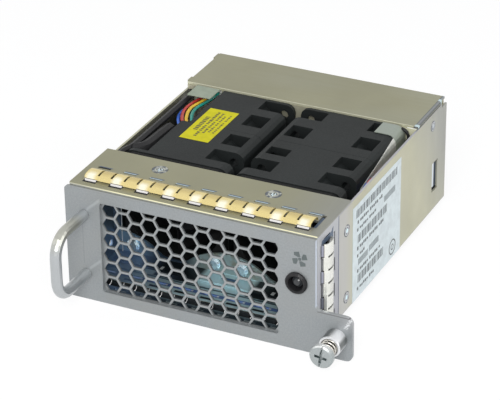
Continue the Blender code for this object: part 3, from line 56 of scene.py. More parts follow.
# Fasteners
CAPTIVE_X = 101.4
CAPTIVE_Z = 7.9
TOP_SCREWS_X = (25.2, 68.2)
TOP_SCREWS_Y = 22.3
SIDE_SCREWS_Y = 25.4
SIDE_SCREWS_Z = (8.2, 34.1)
RIVET_Y = 102.8
RIVET_Z = 37.9

# Camera fitted to the photograph
PICTURE_PIXELS = 500
SENSOR_WIDTH = 36.0
FOCAL_PIXELS = 2349.35
AZIMUTH = 26.058
ELEVATION = 28.353
ROLL = -0.782
TARGET = (47.43, 52.7, 21.08)
SHIFT_RIGHT = -2.621
SHIFT_UP = 0.826
DISTANCE = 832.31

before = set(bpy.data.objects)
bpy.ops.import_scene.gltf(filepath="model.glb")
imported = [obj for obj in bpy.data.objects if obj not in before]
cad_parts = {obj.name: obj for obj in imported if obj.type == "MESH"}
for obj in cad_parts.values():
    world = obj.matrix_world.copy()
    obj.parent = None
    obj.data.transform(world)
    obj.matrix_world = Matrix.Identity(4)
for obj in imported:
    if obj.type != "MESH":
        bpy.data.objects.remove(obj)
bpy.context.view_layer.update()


def at(x, y, z):
    """A place in millimetres as a point of the frame."""
    return Vector((x - SEAT[0], y - SEAT[1], z - SEAT[2])) * MM


def make_camera():
    """Camera at the photograph's angle, turned about its own axis by a small roll."""
    azimuth = math.radians(AZIMUTH)
    elevation = math.radians(ELEVATION)
    roll = math.radians(ROLL)
    back = Vector((
        math.sin(azimuth) * math.cos(elevation),
        -math.cos(azimuth) * math.cos(elevation),
        math.sin(elevation),
    ))
    right = Vector((math.cos(azimuth), math.sin(azimuth), 0.0))
    up = back.cross(right)
    rolled_right = right * math.cos(roll) + up * math.sin(roll)
    rolled_up = up * math.cos(roll) - right * math.sin(roll)
    eye = at(*TARGET) + (back * DISTANCE + rolled_right * SHIFT_RIGHT + rolled_up * SHIFT_UP) * MM
    data = bpy.data.cameras.new("camera")
    data.sensor_width = SENSOR_WIDTH
    data.lens = FOCAL_PIXELS / PICTURE_PIXELS * SENSOR_WIDTH
    data.clip_start = 0.01
    camera = bpy.data.objects.new("camera", data)
    placement = Matrix((rolled_right, rolled_up, back)).transposed().to_4x4()
    placement.translation = eye
    camera.matrix_world = placement
    bpy.context.collection.objects.link(camera)
    bpy.context.scene.camera = camera


make_camera()
bpy.context.scene.view_settings.view_transform = "Standard"


class Look:
    """One node material, with short calls for the nodes used again and again."""

    def __init__(self, name, colour, roughness, metallic=0.0):
        self.made = bpy.data.materials.new(name)
        self.made.use_nodes = True
        self.nodes = self.made.node_tree.nodes
        self.links = self.made.node_tree.links
        self.shader = self.nodes["Principled BSDF"]
        self.shader.inputs["Base Color"].default_value = (*colour, 1.0)
        self.shader.inputs["Roughness"].default_value = roughness
        self.shader.inputs["Metallic"].default_value = metallic
        self.colour = tuple(colour)
        self.position = None

    def set_input(self, socket, value):
        if hasattr(value, "is_linked"):
            self.links.new(value, socket)
        elif isinstance(value, (tuple, list)) and len(value) == 3 and socket.type == "RGBA":
            socket.default_value = (*value, 1.0)
        else:
            socket.default_value = value

    def place(self):
        """Object coordinates in millimetres, from the faceplate's corner."""
        if self.position is None:
            coordinates = self.nodes.new("ShaderNodeTexCoord")
            scale = self.nodes.new("ShaderNodeVectorMath")
            scale.operation = "MULTIPLY_ADD"
            self.links.new(coordinates.outputs["Object"], scale.inputs[0])
            scale.inputs[1].default_value = (1000.0, 1000.0, 1000.0)
            scale.inputs[2].default_value = SEAT
            self.position = scale.outputs[0]
        return self.position

    def axis(self, name):
        split = self.nodes.new("ShaderNodeSeparateXYZ")
        self.links.new(self.place(), split.inputs[0])
        return split.outputs[name]

    def not_facing_down(self):
        """0 on faces that look down, 1 on the others."""
        coordinates = self.nodes.new("ShaderNodeTexCoord")
        split = self.nodes.new("ShaderNodeSeparateXYZ")
        self.links.new(coordinates.outputs["Normal"], split.inputs[0])
        return self.ramp(split.outputs["Z"], -0.6, -0.5)

    def math(self, operation, first, second=0.0):
        node = self.nodes.new("ShaderNodeMath")
        node.operation = operation
        self.set_input(node.inputs[0], first)
        self.set_input(node.inputs[1], second)
        return node.outputs[0]

    def both(self, first, second):
        """Where two masks overlap, or one mask weakened by a number."""
        return self.math("MULTIPLY", first, second)

    def either(self, first, second):
        """Two masks that don't overlap, as one."""
        return self.math("ADD", first, second)

    def spread(self, first, second):
        """Distance from an axis, from the offsets along the two other axes."""
        return self.math("SQRT", self.math("ADD", self.both(first, first), self.both(second, second)))

    def beside(self, value, pair):
        """Offset from the nearer of two places along one axis."""
        middle = self.math("SUBTRACT", value, sum(pair) / 2)
        return self.math("SUBTRACT", self.math("ABSOLUTE", middle), (pair[1] - pair[0]) / 2)

    def ramp(self, value, low, high, start=0.0, end=1.0):
        """Linear step between two levels, held flat outside them."""
        node = self.nodes.new("ShaderNodeMapRange")
        self.set_input(node.inputs["Value"], value)
        node.inputs["From Min"].default_value = low
        node.inputs["From Max"].default_value = high
        node.inputs["To Min"].default_value = start
        node.inputs["To Max"].default_value = end
        return node.outputs["Result"]

    def band(self, value, low, high, soft=0.1):
        """1 between two levels and 0 outside them."""
        return self.both(self.ramp(value, low - soft, low), self.ramp(value, high + soft, high))

    def noise(self, scale, stretch=(1.0, 1.0, 1.0), detail=3.0, roughness=0.5):
        """Noise from 0 to 1 over millimetres, squeezed along any axis."""
        squeeze = self.nodes.new("ShaderNodeVectorMath")
        squeeze.operation = "MULTIPLY"
        self.links.new(self.place(), squeeze.inputs[0])
        squeeze.inputs[1].default_value = stretch
        texture = self.nodes.new("ShaderNodeTexNoise")
        self.links.new(squeeze.outputs[0], texture.inputs["Vector"])
        texture.inputs["Scale"].default_value = scale
        texture.inputs["Detail"].default_value = detail
        texture.inputs["Roughness"].default_value = roughness
        return texture.outputs["Fac"]

    def mix(self, amount, first, second):
        node = self.nodes.new("ShaderNodeMix")
        node.data_type = "RGBA"
        self.set_input(node.inputs[0], amount)
        self.set_input(node.inputs[6], first)
        self.set_input(node.inputs[7], second)
        return node.outputs[2]

    def base(self):
        """The colour that the shader has so far."""
        return self.shader.inputs["Base Color"].links[0].from_socket

    def set_colour(self, value):
        self.set_input(self.shader.inputs["Base Color"], value)

    def set_roughness(self, value):
        self.set_input(self.shader.inputs["Roughness"], value)

    def bump(self, height, strength, distance):
        node = self.nodes.new("ShaderNodeBump")
        node.inputs["Strength"].default_value = strength
        node.inputs["Distance"].default_value = distance * MM
        self.set_input(node.inputs["Height"], height)
        self.links.new(node.outputs["Normal"], self.shader.inputs["Normal"])


# Tones that several looks share
PLAIN_ZINC = (0.273, 0.265, 0.172)
SIDE_ZINC = (0.455, 0.445, 0.325)
# Painted shadow and painted blue-grey reflection for the floor and foot behind the grille.
FLOOR_SHADOW = (0.015, 0.022, 0.026)
FLOOR_SLATE_REFLECTION = (0.16, 0.24, 0.38)


def shade(colour, factor):
    return tuple(min(channel * factor, 1.0) for channel in colour)


def plate_look():
    """Satin grey sheet: painted highlight on the right edge, painted reflections of the handle as streaks
    below its ends and a dark line, and a painted sheen and gleam on the ear.
    """
    look = Look("plate_satin", (0.280, 0.300, 0.310), 0.45, 0.3)
    speckle = look.noise(1.6, detail=2.0)
    cloud = look.noise(0.05)
    grain = look.mix(look.ramp(speckle, 0.35, 0.65), shade(look.colour, 0.94), shade(look.colour, 1.06))
    warm = look.mix(look.ramp(cloud, 0.4, 0.62), grain, (0.300, 0.305, 0.292))
    colour = look.mix(0.35, grain, warm)
    height = look.axis("Z")
    across = look.axis("X")
    rim = look.both(look.ramp(height, 43.1, 43.15), look.ramp(look.axis("Y"), 0.8, 0.9))
    colour = look.mix(rim, colour, (0.17, 0.17, 0.14))
    # Painted highlight along the plate's right edge.
    side = look.both(look.band(across, 93.72, 93.95, 0.04), look.ramp(height, 17.5, 18.5))
    colour = look.mix(side, colour, (0.46, 0.51, 0.59))
    # Painted reflections of the handle: lighter streaks slanting up from its ends.
    slope = 0.88
    for start_x, start_z, length in ((8.6, 35.8, 4.6), (8.8, 12.7, 3.9)):
        run = look.math("SUBTRACT", across, start_x)
        rise = look.math("SUBTRACT", height, start_z)
        off = look.math("ABSOLUTE", look.math("SUBTRACT", rise, look.math("MULTIPLY", run, slope)))
        reflection_streak = look.both(look.ramp(off, 0.9, 0.3), look.band(run, 0.0, length, 0.6))
        colour = look.mix(look.both(reflection_streak, 0.35), colour, (0.52, 0.54, 0.56))
    # Painted reflection of the handle bar: a faint dark vertical line.
    line = look.both(look.band(across, 6.35, 6.6, 0.1), look.band(height, 14.5, 30.0, 0.5))
    colour = look.mix(look.both(line, 0.5), colour, (0.20, 0.215, 0.22))
    # Painted highlights on the ear: a broad sheen and a speckled gleam.
    sheen = look.both(look.ramp(across, 99.0, 105.5), look.ramp(height, 10.0, 16.5))
    colour = look.mix(look.both(sheen, 0.6), colour, (0.42, 0.42, 0.43))
    slant = look.math("ADD", across, look.math("MULTIPLY", height, -0.5))
    gleam = look.both(look.band(slant, 98.0, 98.8, 0.5), look.band(height, 12.6, 16.0, 0.6))
    gleam = look.both(gleam, look.ramp(speckle, 0.42, 0.55, 0.1, 0.9))
    colour = look.mix(gleam, colour, (0.74, 0.75, 0.76))
    near_edge = look.band(height, EAR_TOP - 0.5, EAR_TOP - 0.3, 0.12)
    ear_line = look.both(near_edge, look.ramp(across, 94.2, 94.6))
    look.set_colour(look.mix(look.both(ear_line, 0.75), colour, (0.10, 0.095, 0.10)))
    look.shader.inputs["Coat Weight"].default_value = 0.35
    look.shader.inputs["Coat Roughness"].default_value = 0.12
    look.bump(speckle, 0.04, 0.05)
    return look.made


def zinc_look(name, colour, brushed, mottle):
    """Zinc plated sheet: soft clouds of colour and fine lines along the rolling direction."""
    look = Look(name, colour, 0.4, 0.5)
    cloud = look.noise(0.035, detail=4.0)
    lines = look.noise(0.5, brushed, 2.0)
    tinted = look.mix(look.ramp(cloud, 0.35, 0.65), shade(colour, 1 - mottle), shade(colour, 1 + mottle))
    look.set_colour(look.mix(look.ramp(lines, 0.3, 0.7, 0.0, 0.16), tinted, shade(colour, 1.35)))
    look.set_roughness(look.ramp(lines, 0.3, 0.7, 0.34, 0.46))
    look.bump(lines, 0.06, 0.05)
    return look


def cover_look():
    """Zinc cover: painted reflection streaks, a painted highlight on the front rim, painted shade and a pale
    band along the right fold, and painted glints near its ends.
    """
    look = zinc_look("cover_sheet", PLAIN_ZINC, (0.08, 1.0, 1.0), 0.07)
    across = look.axis("X")
    depth = look.axis("Y")
    height = look.axis("Z")
    # Painted reflection streaks across the cover.
    sheen = look.noise(0.012, (1.0, 2.2, 1.0), 1.0)
    colour = look.mix(look.ramp(sheen, 0.45, 0.6, 0.0, 0.35), look.base(), (0.33, 0.335, 0.26))
    top = look.ramp(height, 43.3, 43.4)
    # Painted shade: a dark band where the cover's edge meets the wall, then a paler band that stands for the
    # wall's top edge.
    fold = look.both(look.ramp(across, 91.9, 92.1), top)
    fold_shading = look.mix(look.band(across, 92.4, 93.1, 0.15), (0.12, 0.13, 0.13), (0.24, 0.255, 0.26))
    colour = look.mix(fold, colour, fold_shading)
    # Painted glints on the fold near the front and rear ends of the cover.
    ends = look.either(look.band(depth, 89.0, 90.4), look.band(depth, 111.6, 113.0))
    colour = look.mix(look.both(ends, look.ramp(across, 91.9, 92.1)), colour, (0.56, 0.70, 0.72))
    # Painted highlight along the cover's front rim.
    rim = look.both(look.ramp(depth, 89.1, 89.0), look.ramp(across, 92.0, 91.5))
    look.set_colour(look.mix(rim, colour, (0.66, 0.65, 0.48)))
    return look.made


def floor_tone(look):
    """Painted reflections, shadows and glints on the floor behind the grille: bands of teal, navy and black
    along Y.
    """
    depth = look.axis("Y")
    across = look.axis("X")
    teal = (0.62, 0.84, 0.90)
    tone = look.mix(look.ramp(depth, 5.5, 10.0), (0.04, 0.06, 0.08), teal)
    step = look.math("FRACT", look.math("DIVIDE", look.math("SUBTRACT", across, 44.4), 2 * FINGER_PITCH))
    dash = look.both(look.band(depth, 12.0, 13.0, 0.2), look.band(step, 0.02, 0.45, 0.02))
    tone = look.mix(dash, tone, FLOOR_SHADOW)
    tone = look.mix(look.band(depth, 14.3, 16.0, 0.2), tone, (0.14, 0.25, 0.55))
    glint = look.both(look.band(depth, 14.8, 15.5, 0.2), look.band(step, 0.46, 0.60, 0.02))
    tone = look.mix(glint, tone, (0.86, 0.92, 1.0))
    tone = look.mix(look.band(depth, 18.2, 18.9, 0.2), tone, (0.08, 0.14, 0.17))
    shadows = look.either(look.band(across, 23.0, 38.0, 1.0), look.band(across, 58.5, 71.0, 1.0))
    tone = look.mix(look.both(shadows, look.ramp(depth, 19.0, 19.4)), tone, FLOOR_SHADOW)
    left = look.ramp(across, 14.0, 34.0, 1.0, 0.0)
    return look.mix(look.both(left, 0.85), tone, FLOOR_SLATE_REFLECTION)


def frame_look():
    """The bent front sheet: grey grille wall, olive strip outside with a painted highlight along its front
    bend, and painted shade inside with a painted blue reflection on the inner left side and painted
    reflections on the floor.
    """
    look = zinc_look("front_sheet", PLAIN_ZINC, (1.0, 0.08, 1.0), 0.06)
    depth = look.axis("Y")
    height = look.axis("Z")
    across = look.axis("X")
    below_top = look.ramp(height, 43.2, 43.3, 1.0, 0.0)
    colour = look.mix(look.ramp(across, 70.0, 93.0, 0.0, 0.8), look.base(), (0.255, 0.262, 0.245))
    flank = look.both(look.ramp(across, 93.4, 93.5), below_top)
    flank_tone = look.mix(look.ramp(height, 24.0, 40.0), (0.37, 0.375, 0.41), (0.43, 0.44, 0.46))
    colour = look.mix(flank, colour, flank_tone)
    # Painted highlight along the strip's front bend, paler from the left end towards the right and grey below
    # the top.
    fold = look.ramp(depth, 1.75, 1.8, 1.0, 0.0)
    fold_shading = look.mix(look.ramp(across, 6.0, 20.0), (0.42, 0.41, 0.31), (0.74, 0.71, 0.47))
    fold_shading = look.mix(look.ramp(height, 43.45, 43.5), (0.30, 0.31, 0.29), fold_shading)
    colour = look.mix(fold, colour, fold_shading)
    wall = look.both(look.ramp(depth, 2.3, 2.5, 1.0, 0.0), look.ramp(height, 42.0, 42.1, 1.0, 0.0))
    wall = look.both(wall, look.ramp(across, 93.0, 93.1, 1.0, 0.0))
    colour = look.mix(wall, colour, (0.32, 0.335, 0.34))
    behind_wall = look.ramp(depth, 1.95, 2.05)
    between_walls = look.band(across, INNER_LEFT, INNER_RIGHT, 0.05)
    inside = look.both(behind_wall, look.band(height, 3.2, 43.0, 0.05))
    inside = look.both(inside, between_walls)
    # Painted shade inside the sheet, with a painted blue reflection on the inner left side.
    left_side = look.both(look.ramp(across, 2.0, 3.0, 1.0, 0.0), look.ramp(height, 40.5, 40.0))
    inside_shading = look.mix(left_side, (0.10, 0.14, 0.17), (0.46, 0.66, 0.98))
    colour = look.mix(inside, colour, inside_shading)
    floor = look.both(look.band(height, 2.5, 3.3, 0.05), between_walls)
    look.set_colour(look.mix(look.both(floor, behind_wall), colour, floor_tone(look)))
    return look.made


def tray_look():
    """Floor and walls in one sheet: olive outside; inside, painted shade that is deeper low down, painted
    blue light at the front left and painted reflections on the floor; painted light and shade on the rear
    slot's inner tab.
    """
    look = zinc_look("wall_sheet", SIDE_ZINC, (1.0, 0.5, 0.06), 0.09)
    height = look.axis("Z")
    across = look.axis("X")
    depth = look.axis("Y")
    behind = look.ramp(look.math("ADD", depth, look.math("MULTIPLY", height, 0.5)), 100.0, 128.0, 0.0, 0.9)
    colour = look.mix(behind, look.base(), (0.33, 0.335, 0.315))
    cool = look.ramp(depth, 24.5, 30.5, 0.9, 0.25)
    colour = look.mix(look.both(cool, look.ramp(depth, 31.0, 30.8)), colour, (0.46, 0.455, 0.44))
    low = look.ramp(height, 3.4, 2.6)
    colour = look.mix(low, colour, (0.40, 0.41, 0.45))
    edge = look.both(look.ramp(height, 42.8, 42.85), look.ramp(across, 90.0, 91.0))
    colour = look.mix(edge, colour, (0.40, 0.40, 0.42))
    inside = look.both(look.band(across, 1.8, 93.0), look.ramp(height, 3.0, 3.1))
    # Painted shade on the inside faces, strongest low down.
    deep_shade = look.ramp(height, 30.0, 41.0, 1.0, 0.25)
    front = look.ramp(depth, 34.0, 36.0, 1.0, 0.0)
    colour = look.mix(look.both(inside, deep_shade), colour, (0.07, 0.075, 0.08))
    # Painted blue light on the inside at the front left.
    lit = look.both(front, look.ramp(across, 2.2, 3.0, 1.0, 0.0))
    lit = look.both(lit, look.ramp(height, 40.5, 40.0))
    colour = look.mix(look.both(inside, lit), colour, (0.42, 0.60, 0.90))
    floor = look.both(look.band(height, 2.9, 3.3, 0.05), look.band(across, 2.6, INNER_RIGHT, 0.05))
    colour = look.mix(look.both(floor, front), colour, floor_tone(look))
    nook = look.both(look.ramp(depth, 86.5, 88.0), look.ramp(height, 33.0, 36.0))
    nook = look.both(nook, look.ramp(across, 90.0, 91.0))
    colour = look.mix(look.both(inside, nook), colour, (0.80, 0.79, 0.58))
    # Painted light and shade on the inner tab of the rear slot: a pale highlight, then dark shade further
    # back.
    inner_tab = look.both(look.ramp(across, 93.2, 93.1), look.ramp(across, 91.0, 91.1))
    tab = look.both(look.band(depth, 103.0, 108.4), inner_tab)
    tab_shading = look.mix(look.ramp(depth, 104.6, 105.4), (0.50, 0.49, 0.40), (0.80, 0.86, 0.92))
    tab_shading = look.mix(look.ramp(depth, 106.6, 107.2), tab_shading, (0.07, 0.09, 0.13))
    look.set_colour(look.mix(look.both(tab, look.band(height, 10.8, 22.0)), colour, tab_shading))
    return look.made


def bracket_look():
    """Low sheet in front of the fans: painted light on the right, painted shadow on the left, and painted
    shadows, reflections and glints on its foot.
    """
    look = zinc_look("bracket_sheet", (0.38, 0.50, 0.50), (0.2, 1.0, 1.0), 0.14)
    across = look.axis("X")
    height = look.axis("Z")
    depth = look.axis("Y")
    shadow = look.mix(look.ramp(across, 12.0, 19.0), (0.28, 0.44, 0.60), (0.06, 0.10, 0.15))
    shadow = look.mix(look.ramp(across, 30.0, 36.0), shadow, look.base())
    foot = look.both(look.ramp(depth, 29.0, 28.9), look.ramp(height, 4.3, 4.2))
    patchy = look.ramp(look.noise(0.22, detail=3.0), 0.52, 0.66)
    shadow = look.mix(look.both(patchy, look.ramp(across, 36.0, 40.0)), shadow, (0.30, 0.31, 0.26))
    # Painted shadows and reflections on the bracket's foot.
    foot_shading = look.mix(look.ramp(across, 14.0, 24.0), FLOOR_SLATE_REFLECTION, FLOOR_SHADOW)
    foot_shading = look.mix(look.ramp(across, 38.0, 40.0), foot_shading, (0.60, 0.80, 0.84))
    foot_shading = look.mix(look.ramp(across, 58.0, 60.0), foot_shading, FLOOR_SHADOW)
    slot = look.both(look.band(across, 46.4, 51.6, 0.2), look.band(depth, 25.2, 26.5, 0.15))
    foot_shading = look.mix(slot, foot_shading, (0.06, 0.14, 0.28))
    # Painted glints on the foot.
    spots = look.either(look.band(across, 23.6, 24.6, 0.1), look.band(across, 66.6, 67.8, 0.1))
    foot_shading = look.mix(look.both(spots, look.band(depth, 22.4, 24.4, 0.1)), foot_shading, (0.95, 1.0, 1.0))
    look.set_colour(look.mix(foot, shadow, foot_shading))
    return look.made


def finger_look(name, bright, dull, highlight, start, axis):
    """Finger stock: each finger has a painted highlight in front that fades to its own tone behind, with a
    lip.

    The axis is the one along the strip: X for the top and lower strips, Z for the side ones.
    """
    on_side = axis == "Z"
    below = name == "under_fingers"
    look = Look(name, bright, 0.24, 0.7)
    along = look.math("DIVIDE", look.math("SUBTRACT", look.axis(axis), start), FINGER_PITCH)
    parity = look.math("MODULO", look.math("FLOOR", along), 2.0)
    tone = look.mix(parity, bright, dull)
    # Painted highlight across the middle of every other finger; warm carries it here.
    offset = look.math("SUBTRACT", look.math("MULTIPLY", look.math("FRACT", along), 2.0), 0.9)
    glare = look.math("SUBTRACT", 1.0, look.math("ABSOLUTE", offset))
    warm = look.mix(look.ramp(glare, 0.1, 0.7), shade(bright, 1.12), highlight)
    pale = look.mix(parity, warm, shade(bright, 1.05))
    depth = look.axis("Y")
    cloud = look.noise(0.35, detail=2.0)
    # The painted highlight is strongest at the front of each finger and fades behind.
    front = look.ramp(look.math("ADD", depth, look.math("MULTIPLY", cloud, 1.6)), 7.6, 9.9, 1.0, 0.0)
    toned = look.mix(front, tone, pale)
    odd = look.math("SUBTRACT", 1.0, parity)
    if below:
        lift = look.math("SUBTRACT", STRIP_BOTTOM, look.axis("Z"))
    elif on_side:
        lift = look.math("SUBTRACT", look.axis("X"), WALL_X)
    else:
        lift = look.math("SUBTRACT", look.axis("Z"), STRIP_TOP)
    lip = look.both(look.both(look.ramp(depth, 5.9, 5.95, 1.0, 0.0), odd), look.ramp(lift, 0.55, 0.5))
    lip_tone = (0.80, 0.78, 0.76)
    if on_side:
        lip_tone = look.mix(look.ramp(depth, 5.4, 5.5), (0.32, 0.33, 0.40), (0.02, 0.02, 0.025))
    toned = look.mix(lip, toned, lip_tone)
    seam = look.both(look.both(look.ramp(depth, 6.15, 6.1), odd), look.band(lift, 0.52, 0.66, 0.04))
    toned = look.mix(seam, toned, (0.14, 0.11, 0.07))
    # Painted shade on every face of the lower fingers that does not look down.
    if below:
        hollow_shade = look.mix(look.ramp(depth, 6.2, 9.5), (0.30, 0.35, 0.35), (0.012, 0.018, 0.022))
        toned = look.mix(look.not_facing_down(), toned, hollow_shade)
        look.shader.inputs["Roughness"].default_value = 0.6
        look.shader.inputs["Metallic"].default_value = 0.2
    look.set_colour(toned)
    look.bump(look.noise(0.4, detail=2.0), 0.08, 0.2)
    return look.made


def black_look(name, colour, roughness, grain):
    """Dark plastic, rubber or sleeve: faint clouds and a fine grain of its own scale."""
    look = Look(name, colour, roughness)
    texture = look.noise(grain, detail=3.0)
    cloud = look.noise(0.05)
    tone = look.mix(look.ramp(cloud, 0.35, 0.65), shade(colour, 0.85), shade(colour, 1.2))
    look.set_colour(tone)
    look.shader.inputs["Specular IOR Level"].default_value = 0.24
    look.set_roughness(look.ramp(texture, 0.3, 0.7, roughness - 0.06, roughness + 0.08))
    look.bump(texture, 0.1, 0.06)
    return look.made


def metal_look(name, colour, roughness, metallic):
    """Plain plated metal with a little unevenness in tone and polish."""
    look = Look(name, colour, roughness, metallic)
    cloud = look.noise(0.5, detail=2.0)
    look.set_roughness(look.ramp(cloud, 0.3, 0.7, roughness - 0.04, roughness + 0.05))
    look.set_colour(look.mix(look.ramp(cloud, 0.3, 0.7), shade(colour, 0.94), shade(colour, 1.04)))
    return look


def head_tones(look, spread, base, recess):
    """Flush head: patchy dark rim, a fine dark ring around the recess and a painted highlight in the recess.
    """
    patchy = look.ramp(look.noise(0.5, detail=1.0), 0.40, 0.52)
    colour = look.mix(look.both(look.ramp(spread, 1.75, 1.95), patchy), base, (0.10, 0.115, 0.13))
    colour = look.mix(look.both(look.band(spread, 0.95, 1.2, 0.1), patchy), colour, (0.12, 0.14, 0.16))
    # The recess colour is a painted highlight.
    return look.mix(look.ramp(spread, 0.95, 0.75), colour, recess)


def countersunk_look():
    """Flush head in the sheet's own tone with a painted highlight in the recess."""
    look = metal_look("screw_countersunk", (0.45, 0.46, 0.41), 0.5, 0.3)
    aside = look.beside(look.axis("X"), TOP_SCREWS_X)
    behind = look.math("SUBTRACT", look.axis("Y"), TOP_SCREWS_Y)
    look.set_colour(head_tones(look, look.spread(aside, behind), look.base(), (0.80, 0.90, 0.93)))
    return look.made


def side_screw_look():
    """Low head in the wall's tone with a dark rim and a painted highlight in the recess."""
    look = metal_look("screw_side", (0.47, 0.47, 0.48), 0.7, 0.1)
    behind = look.math("SUBTRACT", look.axis("Y"), SIDE_SCREWS_Y)
    above = look.beside(look.axis("Z"), SIDE_SCREWS_Z)
    look.set_colour(head_tones(look, look.spread(behind, above), look.base(), (0.66, 0.80, 0.84)))
    return look.made


def rivet_look():
    """Rivet head, greyer than the screws, with a duller painted highlight in the recess."""
    look = metal_look("rivet_zinc", (0.42, 0.43, 0.45), 0.6, 0.2)
    behind = look.math("SUBTRACT", look.axis("Y"), RIVET_Y)
    above = look.math("SUBTRACT", look.axis("Z"), RIVET_Z)
    look.set_colour(head_tones(look, look.spread(behind, above), look.base(), (0.50, 0.54, 0.57)))
    return look.made


def collar_look(name, colour, bright, dark):
    """Turned metal around the captive screw: painted highlights and painted shade in streaks by angle, and a
    painted highlight at the mouth.
    """
    look = Look(name, colour, 0.3, 0.35)
    aside = look.math("SUBTRACT", look.axis("X"), CAPTIVE_X)
    above = look.math("SUBTRACT", look.axis("Z"), CAPTIVE_Z)
    angle = look.math("ARCTAN2", above, aside)
    # Painted highlights and shade, set by the angle around the screw.
    tone = look.mix(look.band(angle, 0.75, 1.35, 0.35), colour, bright)
    tone = look.mix(look.band(angle, 0.05, 0.35, 0.3), tone, dark)
    tone = look.mix(look.band(angle, -0.75, -0.45, 0.3), tone, bright)
    tone = look.mix(look.band(angle, 1.9, 2.5, 0.3), tone, dark)
    # Painted highlight at the mouth of the sleeve.
    mouth = look.ramp(look.axis("Y"), -5.6, -5.75)
    look.set_colour(look.mix(mouth, tone, shade(bright, 1.08)))
    return look.made


def head_look():
    """Captive screw: pale face, darker cross, a flank lit from above and a dark shank."""
    look = Look("head_nickel", (0.34, 0.37, 0.37), 0.34, 0.35)
    depth = look.axis("Y")
    face = look.ramp(depth, -12.9, -12.95)
    cross = look.both(look.ramp(depth, -12.9, -12.8), look.ramp(depth, -12.0, -12.1))
    aside = look.math("SUBTRACT", look.axis("X"), CAPTIVE_X)
    above = look.math("SUBTRACT", look.axis("Z"), CAPTIVE_Z)
    inner = look.ramp(look.spread(aside, above), 2.6, 2.5)
    tone = look.mix(look.ramp(above, 2.0, 4.2), (0.33, 0.36, 0.36), (0.66, 0.67, 0.66))
    tone = look.mix(look.both(cross, inner), tone, (0.10, 0.14, 0.14))
    tone = look.mix(face, tone, (0.36, 0.39, 0.39))
    look.set_colour(look.mix(look.ramp(depth, -10.85, -10.7), tone, (0.05, 0.048, 0.045)))
    return look.made


def bar_look():
    """Drawn bar, with a warm painted reflection along the upper bend."""
    look = Look("bar_aluminium", (0.46, 0.48, 0.49), 0.30, 0.65)
    # Painted warm reflection on the upper bend.
    warm = look.both(look.ramp(look.axis("Z"), 28.0, 33.0), look.ramp(look.axis("Y"), -8.0, -3.0, 1.0, 0.0))
    look.set_colour(look.mix(look.both(warm, 0.55), look.colour, (0.40, 0.385, 0.29)))
    return look.made


def plain_look(name, colour, roughness, metallic=0.0):
    """One tone with faint clouds in it."""
    look = Look(name, colour, roughness, metallic)
    cloud = look.noise(0.4, detail=2.0)
    look.set_colour(look.mix(look.ramp(cloud, 0.35, 0.65), shade(colour, 0.93), shade(colour, 1.07)))
    return look.made


def foil_look():
    """Creased foil, greyer where it is taped down behind."""
    look = Look("foil", (0.62, 0.63, 0.58), 0.38, 0.25)
    creases = look.noise(0.28, detail=4.0, roughness=0.6)
    foil = look.mix(look.ramp(creases, 0.35, 0.65), (0.56, 0.57, 0.53), (0.70, 0.70, 0.66))
    taped = look.ramp(look.axis("Y"), 79.2, 79.4)
    look.set_colour(look.mix(taped, foil, (0.29, 0.325, 0.28)))
    look.bump(creases, 0.25, 0.4)
    return look.made


looks = {
    "plate": plate_look(),
    "frame": frame_look(),
    "cover": cover_look(),
    "tray": tray_look(),
    "bulkhead": zinc_look("bulkhead_sheet", (0.50, 0.48, 0.36), (1.0, 1.0, 0.1), 0.08).made,
    "bracket": bracket_look(),
    "gold": finger_look(
        "gold_fingers", (0.74, 0.61, 0.27), (0.58, 0.46, 0.18), (1.0, 0.97, 0.78), FINGER_START, "X"
    ),
    "silver": finger_look(
        "side_fingers", (0.74, 0.74, 0.69), (0.66, 0.66, 0.62), (0.8, 0.8, 0.76), SIDE_FINGER_START, "Z"
    ),
    "bottom": finger_look(
        "under_fingers", (0.80, 0.80, 0.75), (0.66, 0.65, 0.58), (0.9, 0.9, 0.8), FINGER_START, "X"
    ),
    "bar": bar_look(),
    "steel": metal_look("screw_steel", (0.50, 0.52, 0.51), 0.24, 0.8).made,
    "countersunk": countersunk_look(),
    "collar": collar_look("collar_nickel", (0.34, 0.35, 0.35), (0.66, 0.67, 0.68), (0.13, 0.14, 0.14)),
    "head": head_look(),
    "spring": plain_look("spring_wire", (0.60, 0.58, 0.53), 0.22, 0.8),
    "glint": metal_look("screw_bright", (0.62, 0.78, 0.86), 0.18, 0.7).made,
    "flush": side_screw_look(),
    "rivet": rivet_look(),
    "black": black_look("fan_plastic", (0.0115, 0.0140, 0.0140), 0.58, 2.5),
    "blade": black_look("blade_plastic", (0.010, 0.010, 0.011), 0.5, 2.0),
    "bezel": black_look("bezel_plastic", (0.012, 0.012, 0.013), 0.4, 2.0),
    "lens": plain_look("smoked_lens", (0.03, 0.033, 0.036), 0.2),
    "copper": plain_look("windings", (0.35, 0.17, 0.08), 0.4, 0.6),
    "board": plain_look("board_laminate", (0.03, 0.14, 0.06), 0.5),
    "white": plain_look("plug_white", (0.70, 0.70, 0.66), 0.5),
    "foam": black_look("foam", (0.012, 0.012, 0.012), 0.85, 3.0),
    "tape": plain_look("grey_tape", (0.285, 0.332, 0.250), 0.45),
    "foil": foil_look(),
    "sleeve": black_look("cable_sleeve", (0.016, 0.016, 0.017), 0.5, 1.5),
    "blue": plain_look("wire_blue", (0.05, 0.16, 0.62), 0.35),
    "red": plain_look("wire_red", (0.48, 0.04, 0.03), 0.35),
    "yellow": plain_look("wire_yellow", (0.80, 0.50, 0.04), 0.5),
    "green": plain_look("wire_green", (0.0, 0.30, 0.24), 0.35),
}

